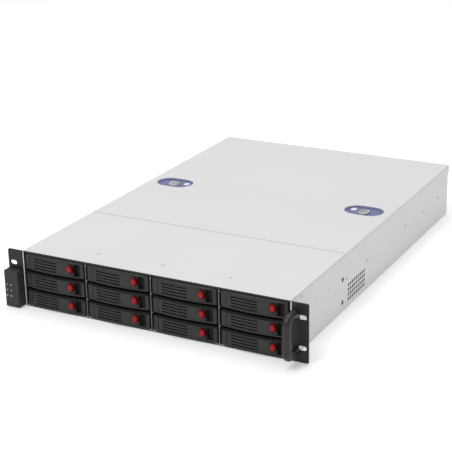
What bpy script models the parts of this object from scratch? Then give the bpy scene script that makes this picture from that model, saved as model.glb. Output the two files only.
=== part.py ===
"""A 2U rack-mount storage chassis with twelve hot-swap drive bays, as separate pieces.

Sizes in this file are millimetres; blocks(), rods() and plate() turn them into metres.
X runs to the right, Y to the rear and Z up, seen from the front. Places along Y count from the front
edge of the case, and one empty carries every piece, so that the model's box is centred on Y = 0.
"""

import math

import bmesh
import bpy
from mathutils import Matrix, Vector

MM = 0.001
GAP = 0.3                       # left between pieces that touch
FUSE = 0.4                      # how far fused shapes reach into each other

# Overall sizes of the case.
BODY_WIDTH = 430.0
BODY_HEIGHT = 87.0
BODY_DEPTH = 650.0
RACK_WIDTH = 482.6
HANDLE_REACH = 35.0             # how far the handle stands in front of the ears
SHEET = 1.2                     # sheet steel of the tray
COVER_SHEET = 1.0
HALF_BODY = BODY_WIDTH / 2
HALF_INSIDE = HALF_BODY - SHEET
COVER_BOTTOM = BODY_HEIGHT - COVER_SHEET
WALL_TOP = COVER_BOTTOM - 1.2
REAR_WALL = 645.0
REAR_WALL_TOP = 81.5            # under the path of the latches when the rear cover slides off
COVER_SEAM = 187.0
ORIGIN_Y = (BODY_DEPTH - HANDLE_REACH) / 2

# The grid of bays.
COLUMNS = 4
ROWS = 3
COLUMN_PITCH = 107.5
ROW_PITCH = 28.3
MIDDLE_ROW_Z = 43.5
SHELF = 0.8

# One drive carrier, measured from the centre of its bay.
BEZEL_HALF = 50.3
BEZEL_BOTTOM = -12.4
BEZEL_TOP = 11.9
BEZEL_BACK = 14.0
BEZEL_CHAMFER = 2.7
BOW = 4.2                       # how far the front bulges in the middle
POCKET_X = (-42.3, 45.2)
POCKET_Z = (-10.2, 8.8)
POCKET_BACK = 2.6
FINGER_RECESS_X = 31.0
FINGER_RECESS_BACK = 11.0
TRAY_HALF = 51.9
TRAY_SHEET = 0.9
TRAY_BOTTOM = -13.4
TRAY_SIDE_TOP = 11.0
TRAY_END = 160.0

# The bowed lever in the carrier's front, and its release button.
PIVOT = Vector((-39.7, 0.3, 0.0))
PIVOT_RADIUS = 1.9
LEVER_END = 36.0
LEVER_Z = (-9.9, 8.5)
VENT_X = (-34.5, 6.4)
VENT_FIRST_Z = 5.6
VENT_PITCH = 4.5
VENT_HEIGHT = 1.9
VENT_ROWS = 4
BUTTON_CENTRE = Vector((29.4, 0.0, 0.9))
BUTTON_HALF = (5.2, 6.7)
BUTTON_FRONT = -7.0
BUTTON_REAR = 0.6

# Behind the bays.
INSERT_HALF = 212.0             # half-width of the boards and walls between the covers' flanges
CAGE_FRONT = 0.2
SHELF_FRONT = 16.0
CAGE_REAR = 165.0
BACKPLANE_Y = (172.0, 173.6)
CONNECTOR_FRONT = 163.0
FAN_WALL_Y = 205.0
FAN_SIZE = 80.0
FAN_DEPTH = 25.0
FAN_BORE = 38.2
FAN_PITCH = 140.0
FAN_Z = 43.5
BOARD_X = (-200.0, 105.0)
BOARD_Y = (398.0, 642.0)
BOARD_Z = (8.0, 9.6)
SUPPLY_X = (110.6, 209.6)
SUPPLY_Y = (428.0, 643.4)
SUPPLY_Z = (1.6, 72.0)

# The cover latches, on both sides of the rear cover.
LATCH_X = 170.0
LATCH_Y = 368.6
LATCH_SIZE = (64.0, 42.5)
LATCH_DISH = (58.0, 36.5)
LATCH_BUTTON_Y = 366.3
LATCH_BUTTON_HALF = (8.5, 12.0)

# The rack ears, the control box and the handle.
HEM = 1.4                       # thickness of the doubled sheet along the front of each side wall
HEM_DEPTH = 15.0
EAR_INNER = HALF_BODY + HEM + GAP
EAR_OUTER = RACK_WIDTH / 2
EAR_SHEET = 2.5
EAR_FRONT = -1.3                # the ears stand a little proud of the body's front edges
EAR_BACK = EAR_FRONT + EAR_SHEET
EAR_Z = (0.6, 86.4)
EAR_FLANGE_Y = 14.0
EAR_FLANGE_Z = (4.0, 62.0)
RACK_SLOT_X = 232.5
RACK_SLOT_SIZE = (12.0, 7.0)
RACK_SLOT_Z = (21.6, 66.05)
BOX_X = (-241.3, -216.9)
BOX_FRONT = -15.4
BOX_Z = (0.6, 57.5)
PANEL_BUTTON_Z = 18.4
PANEL_BUTTON_X = {"power_button": -237.2, "reset_button": -230.0}
PANEL_BUTTON_RADIUS = 1.5
HANDLE_X = (216.9, 228.2)
HANDLE_Z = (10.2, 77.3)
HANDLE_BAR = 14.0
HANDLE_ARM = 12.0
HANDLE_ROUND = 15.0


# ---------------------------------------------------------------- helpers

def collection(name):
    group = bpy.data.collections.new(name)
    bpy.context.scene.collection.children.link(group)
    return group


def material(name, colour, roughness, metallic=0.0):
    made = bpy.data.materials.new(name)
    made.use_nodes = True
    shader = made.node_tree.nodes["Principled BSDF"]
    shader.inputs["Base Color"].default_value = (*colour, 1.0)
    shader.inputs["Roughness"].default_value = roughness
    shader.inputs["Metallic"].default_value = metallic
    return made


def add(name, mesh, look=None, at=(0, 0, 0)):
    """Puts a mesh into the scene as a part, or as a cutter where it has no look."""
    obj = bpy.data.objects.new(name, mesh)
    obj.parent = ORIGIN
    obj.location = Vector(at) * MM
    if look is None:
        CUTTERS.objects.link(obj)
        obj.hide_render = True
        obj.display_type = "WIRE"
    else:
        PARTS.objects.link(obj)
        if not mesh.materials:
            mesh.materials.append(look)
            mesh.shade_smooth()
            mesh.set_sharp_from_angle(angle=math.radians(35))
    return obj


def mesh_of(name, build):
    """A mesh from one bmesh function, scaled from millimetres to metres."""
    bm = bmesh.new()
    build(bm)
    bmesh.ops.scale(bm, vec=(MM, MM, MM), verts=bm.verts)
    mesh = bpy.data.meshes.new(name)
    bm.to_mesh(mesh)
    bm.free()
    return mesh


def add_block(bm, x, y, z):
    centre = Matrix.Translation(((x[0] + x[1]) / 2, (y[0] + y[1]) / 2, (z[0] + z[1]) / 2))
    size = Matrix.Diagonal((x[1] - x[0], y[1] - y[0], z[1] - z[0], 1))
    bmesh.ops.create_cube(bm, size=1, matrix=centre @ size)


def between(a, b):
    return (min(a, b), max(a, b))


def blocks(name, limits, look=None):
    """Boxes that don't touch each other, as one mesh; limits holds (x, y, z) pairs of limits."""
    def build(bm):
        for x, y, z in limits:
            add_block(bm, x, y, z)
    return add(name, mesh_of(name, build), look)


TURN = {
    "X": Matrix(((0, 0, 1, 0), (1, 0, 0, 0), (0, 1, 0, 0), (0, 0, 0, 1))),
    "Y": Matrix(((1, 0, 0, 0), (0, 0, -1, 0), (0, 1, 0, 0), (0, 0, 0, 1))),
    "Z": Matrix.Identity(4),
}


def rods(name, axis, centres, radius, span, sides, look=None):
    """Equal cylinders along one axis, between the two limits of span, as one mesh."""
    along = "XYZ".index(axis)

    def build(bm):
        for centre in centres:
            middle = Vector(centre)
            middle[along] = (span[0] + span[1]) / 2
            bmesh.ops.create_cone(
                bm, cap_ends=True, segments=sides, radius1=radius, radius2=radius,
                depth=span[1] - span[0], matrix=Matrix.Translation(middle) @ TURN[axis])
    return add(name, mesh_of(name, build), look)


def plate_mesh(name, outlines, axis, span):
    """A flat outline, with any holes as further outlines, extruded along one axis between two limits."""
    curve = bpy.data.curves.new(name, "CURVE")
    curve.dimensions = "2D"
    curve.fill_mode = "BOTH"
    curve.extrude = (span[1] - span[0]) / 2
    for outline in outlines:
        spline = curve.splines.new("POLY")
        spline.points.add(len(outline) - 1)
        for point, (u, v) in zip(spline.points, outline):
            point.co = (u, v, 0, 1)
        spline.use_cyclic_u = True
    flat = bpy.data.objects.new(name, curve)
    bpy.context.scene.collection.objects.link(flat)
    bpy.context.view_layer.update()
    mesh = bpy.data.meshes.new_from_object(flat.evaluated_get(bpy.context.evaluated_depsgraph_get()))
    bpy.data.objects.remove(flat)
    bpy.data.curves.remove(curve)
    middle = Vector((0, 0, 0))
    middle["XYZ".index(axis)] = (span[0] + span[1]) / 2
    mesh.transform(Matrix.Scale(MM, 4) @ Matrix.Translation(middle) @ TURN[axis])
    bm = bmesh.new()
    bm.from_mesh(mesh)
    bmesh.ops.remove_doubles(bm, verts=bm.verts, dist=2e-6)
    bmesh.ops.recalc_face_normals(bm, faces=bm.faces)
    bm.to_mesh(mesh)
    bm.free()
    return mesh


def plate(name, outlines, axis, span, look=None):
    return add(name, plate_mesh(name, outlines, axis, span), look)


def arc(centre, radius, start, end, steps):
    """Points on an arc, in degrees from the first axis of the outline towards the second."""
    points = []
    for i in range(steps + 1):
        angle = math.radians(start + (end - start) * i / steps)
        points.append((centre[0] + radius * math.cos(angle), centre[1] + radius * math.sin(angle)))
    return points


def rectangle(u, v):
    return [(u[0], v[0]), (u[1], v[0]), (u[1], v[1]), (u[0], v[1])]


def stadium(centre, size, steps=6):
    """A slot outline with round ends, longer along its first axis."""
    radius = size[1] / 2
    reach = size[0] / 2 - radius
    right = arc((centre[0] + reach, centre[1]), radius, -90, 90, steps)
    left = arc((centre[0] - reach, centre[1]), radius, 90, 270, steps)
    return right + left


def circle(centre, radius, sides):
    return arc(centre, radius, 0, 360 * (1 - 1 / sides), sides - 1)


def oval(centre, half, sides):
    return [(centre[0] + half[0] * u, centre[1] + half[1] * v) for u, v in circle((0, 0), 1, sides)]


def combine(target, operation, *tools):
    for tool in tools:
        step = target.modifiers.new(tool.name, "BOOLEAN")
        step.operation = operation
        step.solver = "EXACT"
        step.object = tool


def finished_mesh(obj, offset=(0, 0, 0)):
    """The mesh that an object's modifiers give, moved by -offset, for pieces that share it."""
    bpy.context.view_layer.update()
    graph = bpy.context.evaluated_depsgraph_get()
    mesh = bpy.data.meshes.new_from_object(obj.evaluated_get(graph))
    mesh.transform(Matrix.Translation(-Vector(offset) * MM))
    return mesh


# ---------------------------------------------------------------- the case

def bay_centre(row, column):
    """The centre of a bay on the case's front plane; row 1 is the top one and column 1 the left one."""
    x = (column - (COLUMNS + 1) / 2) * COLUMN_PITCH
    z = MIDDLE_ROW_Z + (2 - row) * ROW_PITCH
    return Vector((x, 0.0, z))


def side_vents(side):
    """The cutters for one side wall: a grid of vent holes and two cable-arm holes."""
    span = (side * HALF_BODY - 3, side * HALF_BODY + 3)
    grid = [(0, 199.5 + 7.56 * i, 11.4 + 7.5 * j) for i in range(9) for j in range(4)]
    return (
        rods(f"cut_vents_{side}", "X", grid, 3.1, span, 8),
        rods(f"cut_arm_holes_{side}", "X", [(0, 177, 50.1), (0, 177, 14.2)], 3.8, span, 12),
    )


def chassis_tray():
    """Floor, side walls and rear wall, folded from one sheet and open at the front and the top."""
    def build(bm):
        add_block(bm, (-HALF_BODY, HALF_BODY), (0, REAR_WALL), (0, WALL_TOP))
        open_faces = [f for f in bm.faces if f.normal.z > 0.5 or f.normal.y < -0.5]
        bmesh.ops.delete(bm, geom=open_faces, context="FACES_ONLY")
    tray = add("chassis_tray", mesh_of("chassis_tray", build), STEEL)
    shell = tray.modifiers.new("sheet", "SOLIDIFY")
    shell.thickness = SHEET * MM
    shell.offset = -1
    shell.use_even_offset = True
    hems = blocks("add_hems", [
        (between(side * (HALF_BODY - FUSE), side * (HALF_BODY + HEM)), (0.1, HEM_DEPTH),
         (0.1, WALL_TOP - 0.1)) for side in (-1, 1)])
    rear = (REAR_WALL - 6, REAR_WALL + 6)
    slots = [((-74.0 - 20.32 * i, -60.0 - 20.32 * i), rear, (12.0, 74.0)) for i in range(7)]
    vents = [((-48.0 + 8 * i, -44.0 + 8 * i), rear, (57.0, 79.0)) for i in range(19)]
    openings = blocks("cut_rear_openings", slots + vents + [
        ((-55.0, 104.0), rear, (7.4, 52.0)),
        ((114.0, 206.0), rear, (5.0, 70.0))])
    passage = blocks("cut_cover_passage", [
        ((-HALF_INSIDE, HALF_INSIDE), rear, (REAR_WALL_TOP, BODY_HEIGHT))])
    notches = blocks("cut_flange_notches", [
        (between(side * 210.5, side * (HALF_INSIDE + 0.1)), rear, (76.0, BODY_HEIGHT)) for side in (-1, 1)])
    combine(tray, "UNION", hems)
    combine(tray, "DIFFERENCE", openings, passage, notches, *side_vents(-1), *side_vents(1))


def cover_side_flanges(name, y, bottom):
    """The two flanges that a cover hangs inside the side walls."""
    inner, outer = HALF_INSIDE - GAP - COVER_SHEET, HALF_INSIDE - GAP
    top = COVER_BOTTOM + FUSE
    return blocks(name, [((-outer, -inner), y, (bottom, top)), ((inner, outer), y, (bottom, top))])


def front_cover():
    sheet = blocks("front_cover", [
        ((-HALF_BODY, HALF_BODY), (0.0, COVER_SEAM - 0.5), (COVER_BOTTOM, BODY_HEIGHT))], STEEL)
    combine(sheet, "UNION", cover_side_flanges("add_front_flanges", (TRAY_END + 6, COVER_SEAM - 2), 78.0))


def rear_cover():
    """Top sheet with two latch openings, side flanges and a lip that hangs behind the rear wall."""
    sheet = blocks("rear_cover", [
        ((-HALF_BODY, HALF_BODY), (COVER_SEAM + 0.5, BODY_DEPTH), (COVER_BOTTOM, BODY_HEIGHT))], STEEL)
    openings = [plate(f"cut_latch_{side}", [stadium((side * LATCH_X, LATCH_Y), LATCH_SIZE, 8)], "Z",
                      (COVER_BOTTOM - 5, BODY_HEIGHT + 5)) for side in (-1, 1)]
    lip_z = (74.0, COVER_BOTTOM + FUSE)
    lip = blocks("add_rear_lip", [
        ((-HALF_BODY + GAP, HALF_BODY - GAP), (BODY_DEPTH - SHEET, BODY_DEPTH - 0.1), lip_z)])
    returns = blocks("add_lip_returns", [
        (between(side * (HALF_BODY - 0.1), side * (HALF_BODY - 0.1 - COVER_SHEET)),
         (REAR_WALL + GAP, BODY_DEPTH - 0.5), (lip_z[0] + 0.1, lip_z[1] - 0.1)) for side in (-1, 1)])
    flanges = cover_side_flanges("add_rear_flanges", (COVER_SEAM + 3, 640.0), 77.0)
    combine(sheet, "UNION", flanges, lip, returns)
    combine(sheet, "DIFFERENCE", *openings)


def cover_latch(side, name):
    """A blue dished latch housing under an opening of the rear cover, with an oval button to push down."""
    x = side * LATCH_X
    bottom, top = COVER_BOTTOM - 3.0, COVER_BOTTOM - GAP
    plate_size = (LATCH_SIZE[0] + 8, LATCH_SIZE[1] + 8)
    bore = oval((x, LATCH_BUTTON_Y), [half + GAP for half in LATCH_BUTTON_HALF], 24)
    outline = stadium((x, LATCH_Y), plate_size, 8)
    housing = plate(f"latch_plate_{name}", [outline, bore], "Z", (bottom, top), BLUE)
    dish = plate(f"cut_latch_dish_{name}", [stadium((x, LATCH_Y), LATCH_DISH, 8)], "Z", (top - 1.2, top + 5))
    combine(housing, "DIFFERENCE", dish)
    button = plate_mesh(f"latch_button_{name}", [oval((0, 0), LATCH_BUTTON_HALF, 24)], "Z",
                        (bottom + 0.2, top + 0.8))
    add(f"latch_button_{name}", button, GREY, at=(x, LATCH_BUTTON_Y, 0))


# ---------------------------------------------------------------- the drive bays

def bowed_front(x):
    return -BOW * (1 - (x / BEZEL_HALF) ** 2)


def bowed_line(start, end, steps):
    return [(x, bowed_front(x)) for x in (start + (end - start) * i / steps for i in range(steps + 1))]


def carrier_mesh():
    """A moulded bezel with a chamfered brow, on an open sheet tray that holds the drive."""
    back = [(BEZEL_HALF, BEZEL_BACK), (-BEZEL_HALF, BEZEL_BACK)]
    mesh = plate_mesh("bezel", [bowed_line(-BEZEL_HALF, BEZEL_HALF, 8) + back], "Z",
                      (BEZEL_BOTTOM, BEZEL_TOP))
    bm = bmesh.new()
    bm.from_mesh(mesh)
    top = BEZEL_TOP * MM - 1e-5
    brow = [e for e in bm.edges if all(v.co.z > top and v.co.y < MM for v in e.verts)
            and len({round(f.normal.z) for f in e.link_faces}) == 2]
    bmesh.ops.bevel(bm, geom=brow, offset=BEZEL_CHAMFER * MM, segments=1, affect="EDGES")
    bm.to_mesh(mesh)
    bm.free()
    carrier = add("make_carrier", mesh)
    floor_top = TRAY_BOTTOM + 0.7
    rail = TRAY_HALF - TRAY_SHEET
    profile = [(-TRAY_HALF, TRAY_SIDE_TOP), (-TRAY_HALF, TRAY_BOTTOM), (TRAY_HALF, TRAY_BOTTOM),
               (TRAY_HALF, TRAY_SIDE_TOP), (rail, TRAY_SIDE_TOP), (rail, floor_top),
               (-rail, floor_top), (-rail, TRAY_SIDE_TOP)]
    tray = plate("add_tray", [profile], "Y", (9.0, TRAY_END))
    shoulder = blocks("add_shoulder", [((-rail - FUSE, rail + FUSE), (9.5, 13.6), (floor_top - FUSE, 12.4))])
    combine(carrier, "UNION", shoulder, tray)
    pocket = blocks("cut_pocket", [(POCKET_X, (-9, POCKET_BACK), POCKET_Z)])
    recess = blocks("cut_recess", [((FINGER_RECESS_X, POCKET_X[1]), (-9, FINGER_RECESS_BACK), POCKET_Z)])
    air = blocks("cut_air_path", [((-36.0, 9.0), (0.0, 20.0), (-9.4, 7.8))])
    windows = blocks("cut_floor_windows", [
        (x, y, (-15.0, -11.0)) for x in ((-40.0, -4.0), (4.0, 40.0)) for y in ((24.0, 80.0), (90.0, 146.0))])
    combine(carrier, "DIFFERENCE", pocket, recess, air, windows)
    shared = finished_mesh(carrier)
    bpy.data.objects.remove(carrier)
    return shared


def lever_mesh():
    """The bowed, slotted lever: a rounded hinge end on the left and a hole for the button."""
    front = bowed_line(PIVOT.x + 0.8, LEVER_END, 6)
    barrel = arc(PIVOT.xy, PIVOT_RADIUS, 90, 270, 6)
    back = [(LEVER_END, PIVOT.y + PIVOT_RADIUS)]
    lever = plate("make_lever", [front + back + barrel], "Z", LEVER_Z)
    vents = []
    for row in range(VENT_ROWS):
        z = VENT_FIRST_Z - VENT_PITCH * row
        vents.append((VENT_X, (-9, 9), (z - VENT_HEIGHT / 2, z + VENT_HEIGHT / 2)))
    bore = oval((BUTTON_CENTRE.x, BUTTON_CENTRE.z), [half + GAP for half in BUTTON_HALF], 14)
    hole = plate("cut_button_hole", [bore], "Y", (-9, 9))
    combine(lever, "DIFFERENCE", blocks("cut_lever_vents", vents), hole)
    shared = finished_mesh(lever, PIVOT)
    bpy.data.objects.remove(lever)
    return shared


def button_mesh():
    """A domed oval release button."""
    def build(bm):
        size = Matrix.Diagonal((BUTTON_HALF[0], 1, BUTTON_HALF[1], 1))
        middle = Matrix.Translation((0, (BUTTON_FRONT + BUTTON_REAR) / 2, 0))
        bmesh.ops.create_cone(bm, cap_ends=True, segments=14, radius1=1, radius2=1,
                              depth=BUTTON_REAR - BUTTON_FRONT, matrix=middle @ size @ TURN["Y"])
        rim = [e for e in bm.edges if all(v.co.y < BUTTON_FRONT + 0.1 for v in e.verts)]
        bmesh.ops.bevel(bm, geom=rim, offset=2.6, segments=2, profile=0.5, affect="EDGES")
    return mesh_of("button", build)


def drive_bays():
    shared = {"carrier": carrier_mesh(), "lever": lever_mesh(), "button": button_mesh()}
    looks = {"carrier": BLACK, "lever": BLACK, "button": RED}
    origins = {"carrier": Vector((0, 0, 0)), "lever": PIVOT, "button": BUTTON_CENTRE}
    for row in range(1, ROWS + 1):
        for column in range(1, COLUMNS + 1):
            for kind, mesh in shared.items():
                place = bay_centre(row, column) + origins[kind]
                add(f"{kind}_r{row}c{column}", mesh, looks[kind], at=place)


def drive_cage():
    """Two shelves and three dividers, slotted together, that guide the carriers."""
    z = (GAP + SHEET, COVER_BOTTOM - 0.6)
    half = SHEET / 2
    dividers = [((side * COLUMN_PITCH - half, side * COLUMN_PITCH + half), (CAGE_FRONT, CAGE_REAR), z)
                for side in (-1, 0, 1)]
    cage = blocks("drive_cage", [dividers[1]], STEEL)
    sides = blocks("add_outer_dividers", [dividers[0], dividers[2]])
    shelves = []
    for step in (-0.5, 0.5):
        middle = MIDDLE_ROW_Z + step * ROW_PITCH
        shelves.append(((-HALF_INSIDE + 0.4, HALF_INSIDE - 0.4), (SHELF_FRONT, CAGE_REAR - FUSE),
                        (middle - SHELF / 2, middle + SHELF / 2)))
    combine(cage, "UNION", blocks("add_shelves", shelves), sides)


def backplane():
    """The board behind the bays: a drive connector for each bay, and air slots between the rows."""
    board = blocks("backplane", [((-INSERT_HALF, INSERT_HALF), BACKPLANE_Y, (2.5, 85.0))], BOARD)
    connectors, slots = [], []
    for row in range(1, ROWS + 1):
        for column in range(1, COLUMNS + 1):
            centre = bay_centre(row, column)
            connectors.append(((centre.x - 22, centre.x + 22), (CONNECTOR_FRONT, BACKPLANE_Y[0] + FUSE),
                               (centre.z - 10.5, centre.z - 5.0)))
            slots.append(((centre.x - 30, centre.x + 30), (BACKPLANE_Y[0] - 5, BACKPLANE_Y[1] + 5),
                          (centre.z - 1, centre.z + 10)))
    combine(board, "UNION", blocks("add_drive_connectors", connectors))
    combine(board, "DIFFERENCE", blocks("cut_board_air_slots", slots))


# ---------------------------------------------------------------- fans, board and power supply

def fan_wall():
    """The cross wall that the three fans are screwed to: a foot below, and a guard across each fan's hole."""
    holes = [circle((i * FAN_PITCH, FAN_Z), FAN_BORE, 24) for i in (-1, 0, 1)]
    wall = plate("fan_wall", [rectangle((-INSERT_HALF, INSERT_HALF), (GAP + SHEET, 84.0)), *holes], "Y",
                 (FAN_WALL_Y - SHEET, FAN_WALL_Y), STEEL)
    foot = blocks("add_fan_wall_foot", [
        ((-INSERT_HALF + FUSE, INSERT_HALF - FUSE), (FAN_WALL_Y - 14, FAN_WALL_Y - FUSE),
         (GAP + SHEET + 0.1, GAP + 2 * SHEET))])
    bar_y = (FAN_WALL_Y - SHEET + 0.1, FAN_WALL_Y - 0.1)
    reach = FAN_BORE + 1
    across = blocks("add_guards_across", [
        ((i * FAN_PITCH - reach, i * FAN_PITCH + reach), bar_y, (FAN_Z - 2, FAN_Z + 2)) for i in (-1, 0, 1)])
    upright = blocks("add_guards_upright", [
        ((i * FAN_PITCH - 2, i * FAN_PITCH + 2), bar_y, (FAN_Z - reach, FAN_Z + reach)) for i in (-1, 0, 1)])
    combine(wall, "UNION", foot, across, upright)


def fan(index):
    """An 80 mm fan: a square frame with a spider and pin at its rear, and a rotor that turns on the pin."""
    x = (index - 2) * FAN_PITCH
    front, rear = FAN_WALL_Y + GAP, FAN_WALL_Y + GAP + FAN_DEPTH
    half = FAN_SIZE / 2
    square = rectangle((x - half, x + half), (FAN_Z - half, FAN_Z + half))
    frame = plate(f"fan_frame_{index}", [square, circle((x, FAN_Z), FAN_BORE, 24)], "Y", (front, rear), BLACK)
    spider = blocks(f"add_fan_spider_{index}", [
        ((x - 39.0, x + 39.0), (rear - 4.0, rear - 0.2), (FAN_Z - 2.5, FAN_Z + 2.5))])
    post = blocks(f"add_fan_post_{index}", [
        ((x - 2.5, x + 2.5), (rear - 3.8, rear - 0.4), (FAN_Z - 39.0, FAN_Z + 39.0))])
    hub = rods(f"add_fan_motor_{index}", "Y", [(x, 0, FAN_Z)], 17.0, (rear - 4.2, rear - 0.6), 24)
    pin = rods(f"add_fan_pin_{index}", "Y", [(x, 0, FAN_Z)], 3.0, (front + 8.0, rear - 2.0), 12)
    combine(frame, "UNION", spider, post, hub, pin)

    rotor_y = (3.0, FAN_DEPTH - 5.0)
    rotor = add(f"fan_rotor_{index}", mesh_of(f"fan_rotor_{index}", lambda bm: bmesh.ops.create_cone(
        bm, cap_ends=True, segments=24, radius1=17, radius2=17, depth=rotor_y[1] - rotor_y[0],
        matrix=Matrix.Translation((0, sum(rotor_y) / 2, 0)) @ TURN["Y"])), BLACK, at=(x, front, FAN_Z))

    def blades(bm):
        for i in range(7):
            around = Matrix.Rotation(2 * math.pi * i / 7, 4, "Y")
            place = Matrix.Translation((25.5, sum(rotor_y) / 2, 0))
            pitched = place @ Matrix.Rotation(math.radians(38), 4, "X")
            size = Matrix.Diagonal((21.0, 2.0, 17.0, 1))
            bmesh.ops.create_cube(bm, size=1, matrix=around @ pitched @ size)
    vanes = add(f"add_fan_blades_{index}", mesh_of("blades", blades), at=(x, front, FAN_Z))
    bore = rods(f"cut_rotor_bore_{index}", "Y", [(x, 0, FAN_Z)], 3.4, (front + 7.4, rear), 12)
    combine(rotor, "UNION", vanes)
    combine(rotor, "DIFFERENCE", bore)


def motherboard():
    """A full-size board on standoffs, with its port block, processor cooler, memory and card slots."""
    board = blocks("motherboard", [(BOARD_X, BOARD_Y, BOARD_Z)], BOARD)
    base = BOARD_Z[1] - FUSE
    ports = blocks("add_port_block", [((-50.0, 99.0), (BOARD_Y[1] - 22, REAR_WALL - 0.4), (base, 44.0))])
    cooler = blocks("add_cooler", [((-10.0, 80.0), (500.0, 590.0), (base, 68.0))])
    memory = blocks("add_memory", [
        ((-20.0, 86.0), (424.0 + 12 * i, 430.0 + 12 * i), (base, 40.0)) for i in range(4)])
    card_slots = blocks("add_card_slots", [
        ((-71.0 - 20.32 * i, -63.5 - 20.32 * i), (520.0, 610.0), (base, 21.0)) for i in range(7)])
    places = [(x, y, 0) for x in (-193.0, -50.0, 98.0) for y in (408.0, 525.0, 615.0)]
    feet = rods("add_standoffs", "Z", places, 3.0, (SHEET + GAP, BOARD_Z[0] + FUSE), 6)
    combine(board, "UNION", ports, cooler, memory, card_slots, feet)


def power_supply():
    supply = blocks("power_supply", [(SUPPLY_X, SUPPLY_Y, SUPPLY_Z)], GREY)
    inlet = blocks("cut_inlet", [((175.0, 202.0), (SUPPLY_Y[1] - 16, SUPPLY_Y[1] + 5), (18.0, 38.0))])
    combine(supply, "DIFFERENCE", inlet)


# ---------------------------------------------------------------- ears, control box and handle

def ear(name, side, slot_heights):
    """An L-shaped rack bracket: a face with slots, and a flange along the side of the case."""
    corner = 2.0
    low, high = EAR_Z
    outer_corners = (arc((EAR_OUTER - corner, low + corner), corner, -90, 0, 4)
                     + arc((EAR_OUTER - corner, high - corner), corner, 0, 90, 4))
    face = [(EAR_INNER, high), (EAR_INNER, low)] + outer_corners
    slots = [stadium((RACK_SLOT_X, z), RACK_SLOT_SIZE) for z in slot_heights]
    outlines = [[(side * u, v) for u, v in outline] for outline in [face, *slots]]
    bracket = plate(name, outlines, "Y", (EAR_FRONT, EAR_BACK), BLACK_METAL)
    flange_x = between(side * (EAR_INNER + 0.1), side * (EAR_INNER + 2.0))
    flange = blocks(f"add_{name}_flange", [(flange_x, (EAR_BACK - FUSE, EAR_FLANGE_Y), EAR_FLANGE_Z)])
    combine(bracket, "UNION", flange)


def handle():
    """A D-shaped grip whose two arms meet the right ear."""
    low, high = HANDLE_Z
    front = -HANDLE_REACH
    inner_round = 5.0
    bar = front + HANDLE_BAR
    outer = (arc((front + HANDLE_ROUND, low + HANDLE_ROUND), HANDLE_ROUND, 270, 180, 6)
             + arc((front + HANDLE_ROUND, high - HANDLE_ROUND), HANDLE_ROUND, 180, 90, 6))
    inner = (arc((bar + inner_round, high - HANDLE_ARM - inner_round), inner_round, 90, 180, 4)
             + arc((bar + inner_round, low + HANDLE_ARM + inner_round), inner_round, 180, 270, 4))
    foot = EAR_FRONT - GAP
    outline = [(foot, low), *outer, (foot, high), (foot, high - HANDLE_ARM), *inner, (foot, low + HANDLE_ARM)]
    plate("handle", [outline], "X", HANDLE_X, BLACK_METAL)


def control_box():
    """The box on the left ear, with a blind hole for each of its two buttons."""
    box = blocks("control_box", [(BOX_X, (BOX_FRONT, EAR_FRONT - GAP), BOX_Z)], BLACK)
    edge = box.modifiers.new("edge", "BEVEL")
    edge.width = 0.8 * MM
    edge.segments = 1
    places = [(x, 0, PANEL_BUTTON_Z) for x in PANEL_BUTTON_X.values()]
    combine(box, "DIFFERENCE", rods("cut_button_wells", "Y", places, PANEL_BUTTON_RADIUS + 0.2,
                                    (BOX_FRONT - 5, BOX_FRONT + 6), 12))
    for name, x in PANEL_BUTTON_X.items():
        add(name, plate_mesh(name, [circle((0, 0), PANEL_BUTTON_RADIUS, 12)], "Y",
                             (BOX_FRONT - 1.0, BOX_FRONT + 4.5)), WHITE, at=(x, 0, PANEL_BUTTON_Z))


# ---------------------------------------------------------------- assembly

for old in list(bpy.data.objects):
    bpy.data.objects.remove(old)

PARTS = collection("storage_chassis")
CUTTERS = collection("cutters")
ORIGIN = bpy.data.objects.new("front_edge", None)
ORIGIN.location = (0, -ORIGIN_Y * MM, 0)
PARTS.objects.link(ORIGIN)

STEEL = material("steel_paint", (0.70, 0.71, 0.71), 0.45, 0.1)
BLACK = material("black_plastic", (0.035, 0.035, 0.036), 0.5)
BLACK_METAL = material("black_painted_metal", (0.035, 0.035, 0.036), 0.4, 0.2)
RED = material("red_plastic", (0.62, 0.02, 0.02), 0.35)
BLUE = material("blue_plastic", (0.10, 0.12, 0.32), 0.4)
GREY = material("grey_metal", (0.45, 0.46, 0.47), 0.35, 0.8)
WHITE = material("white_plastic", (0.75, 0.75, 0.75), 0.4)
BOARD = material("circuit_board", (0.02, 0.12, 0.05), 0.5)

chassis_tray()
front_cover()
rear_cover()
cover_latch(-1, "left")
cover_latch(1, "right")
drive_cage()
drive_bays()
backplane()
fan_wall()
for number in (1, 2, 3):
    fan(number)
motherboard()
power_supply()
ear("left_ear", -1, RACK_SLOT_Z[1:])
ear("right_ear", 1, RACK_SLOT_Z)
handle()
control_box()
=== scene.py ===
"""The looks of the rack-mount storage chassis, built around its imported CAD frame.

Sizes are millimetres in the case's own axes: X to the right, Y to the rear from the front edge of the case,
Z up from its underside. at() turns them into the frame's metres. A piece that moves has its own origin, on
the same place as the CAD node that it stands for.
"""

import math

import bmesh
import bpy
from mathutils import Matrix, Vector


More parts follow.
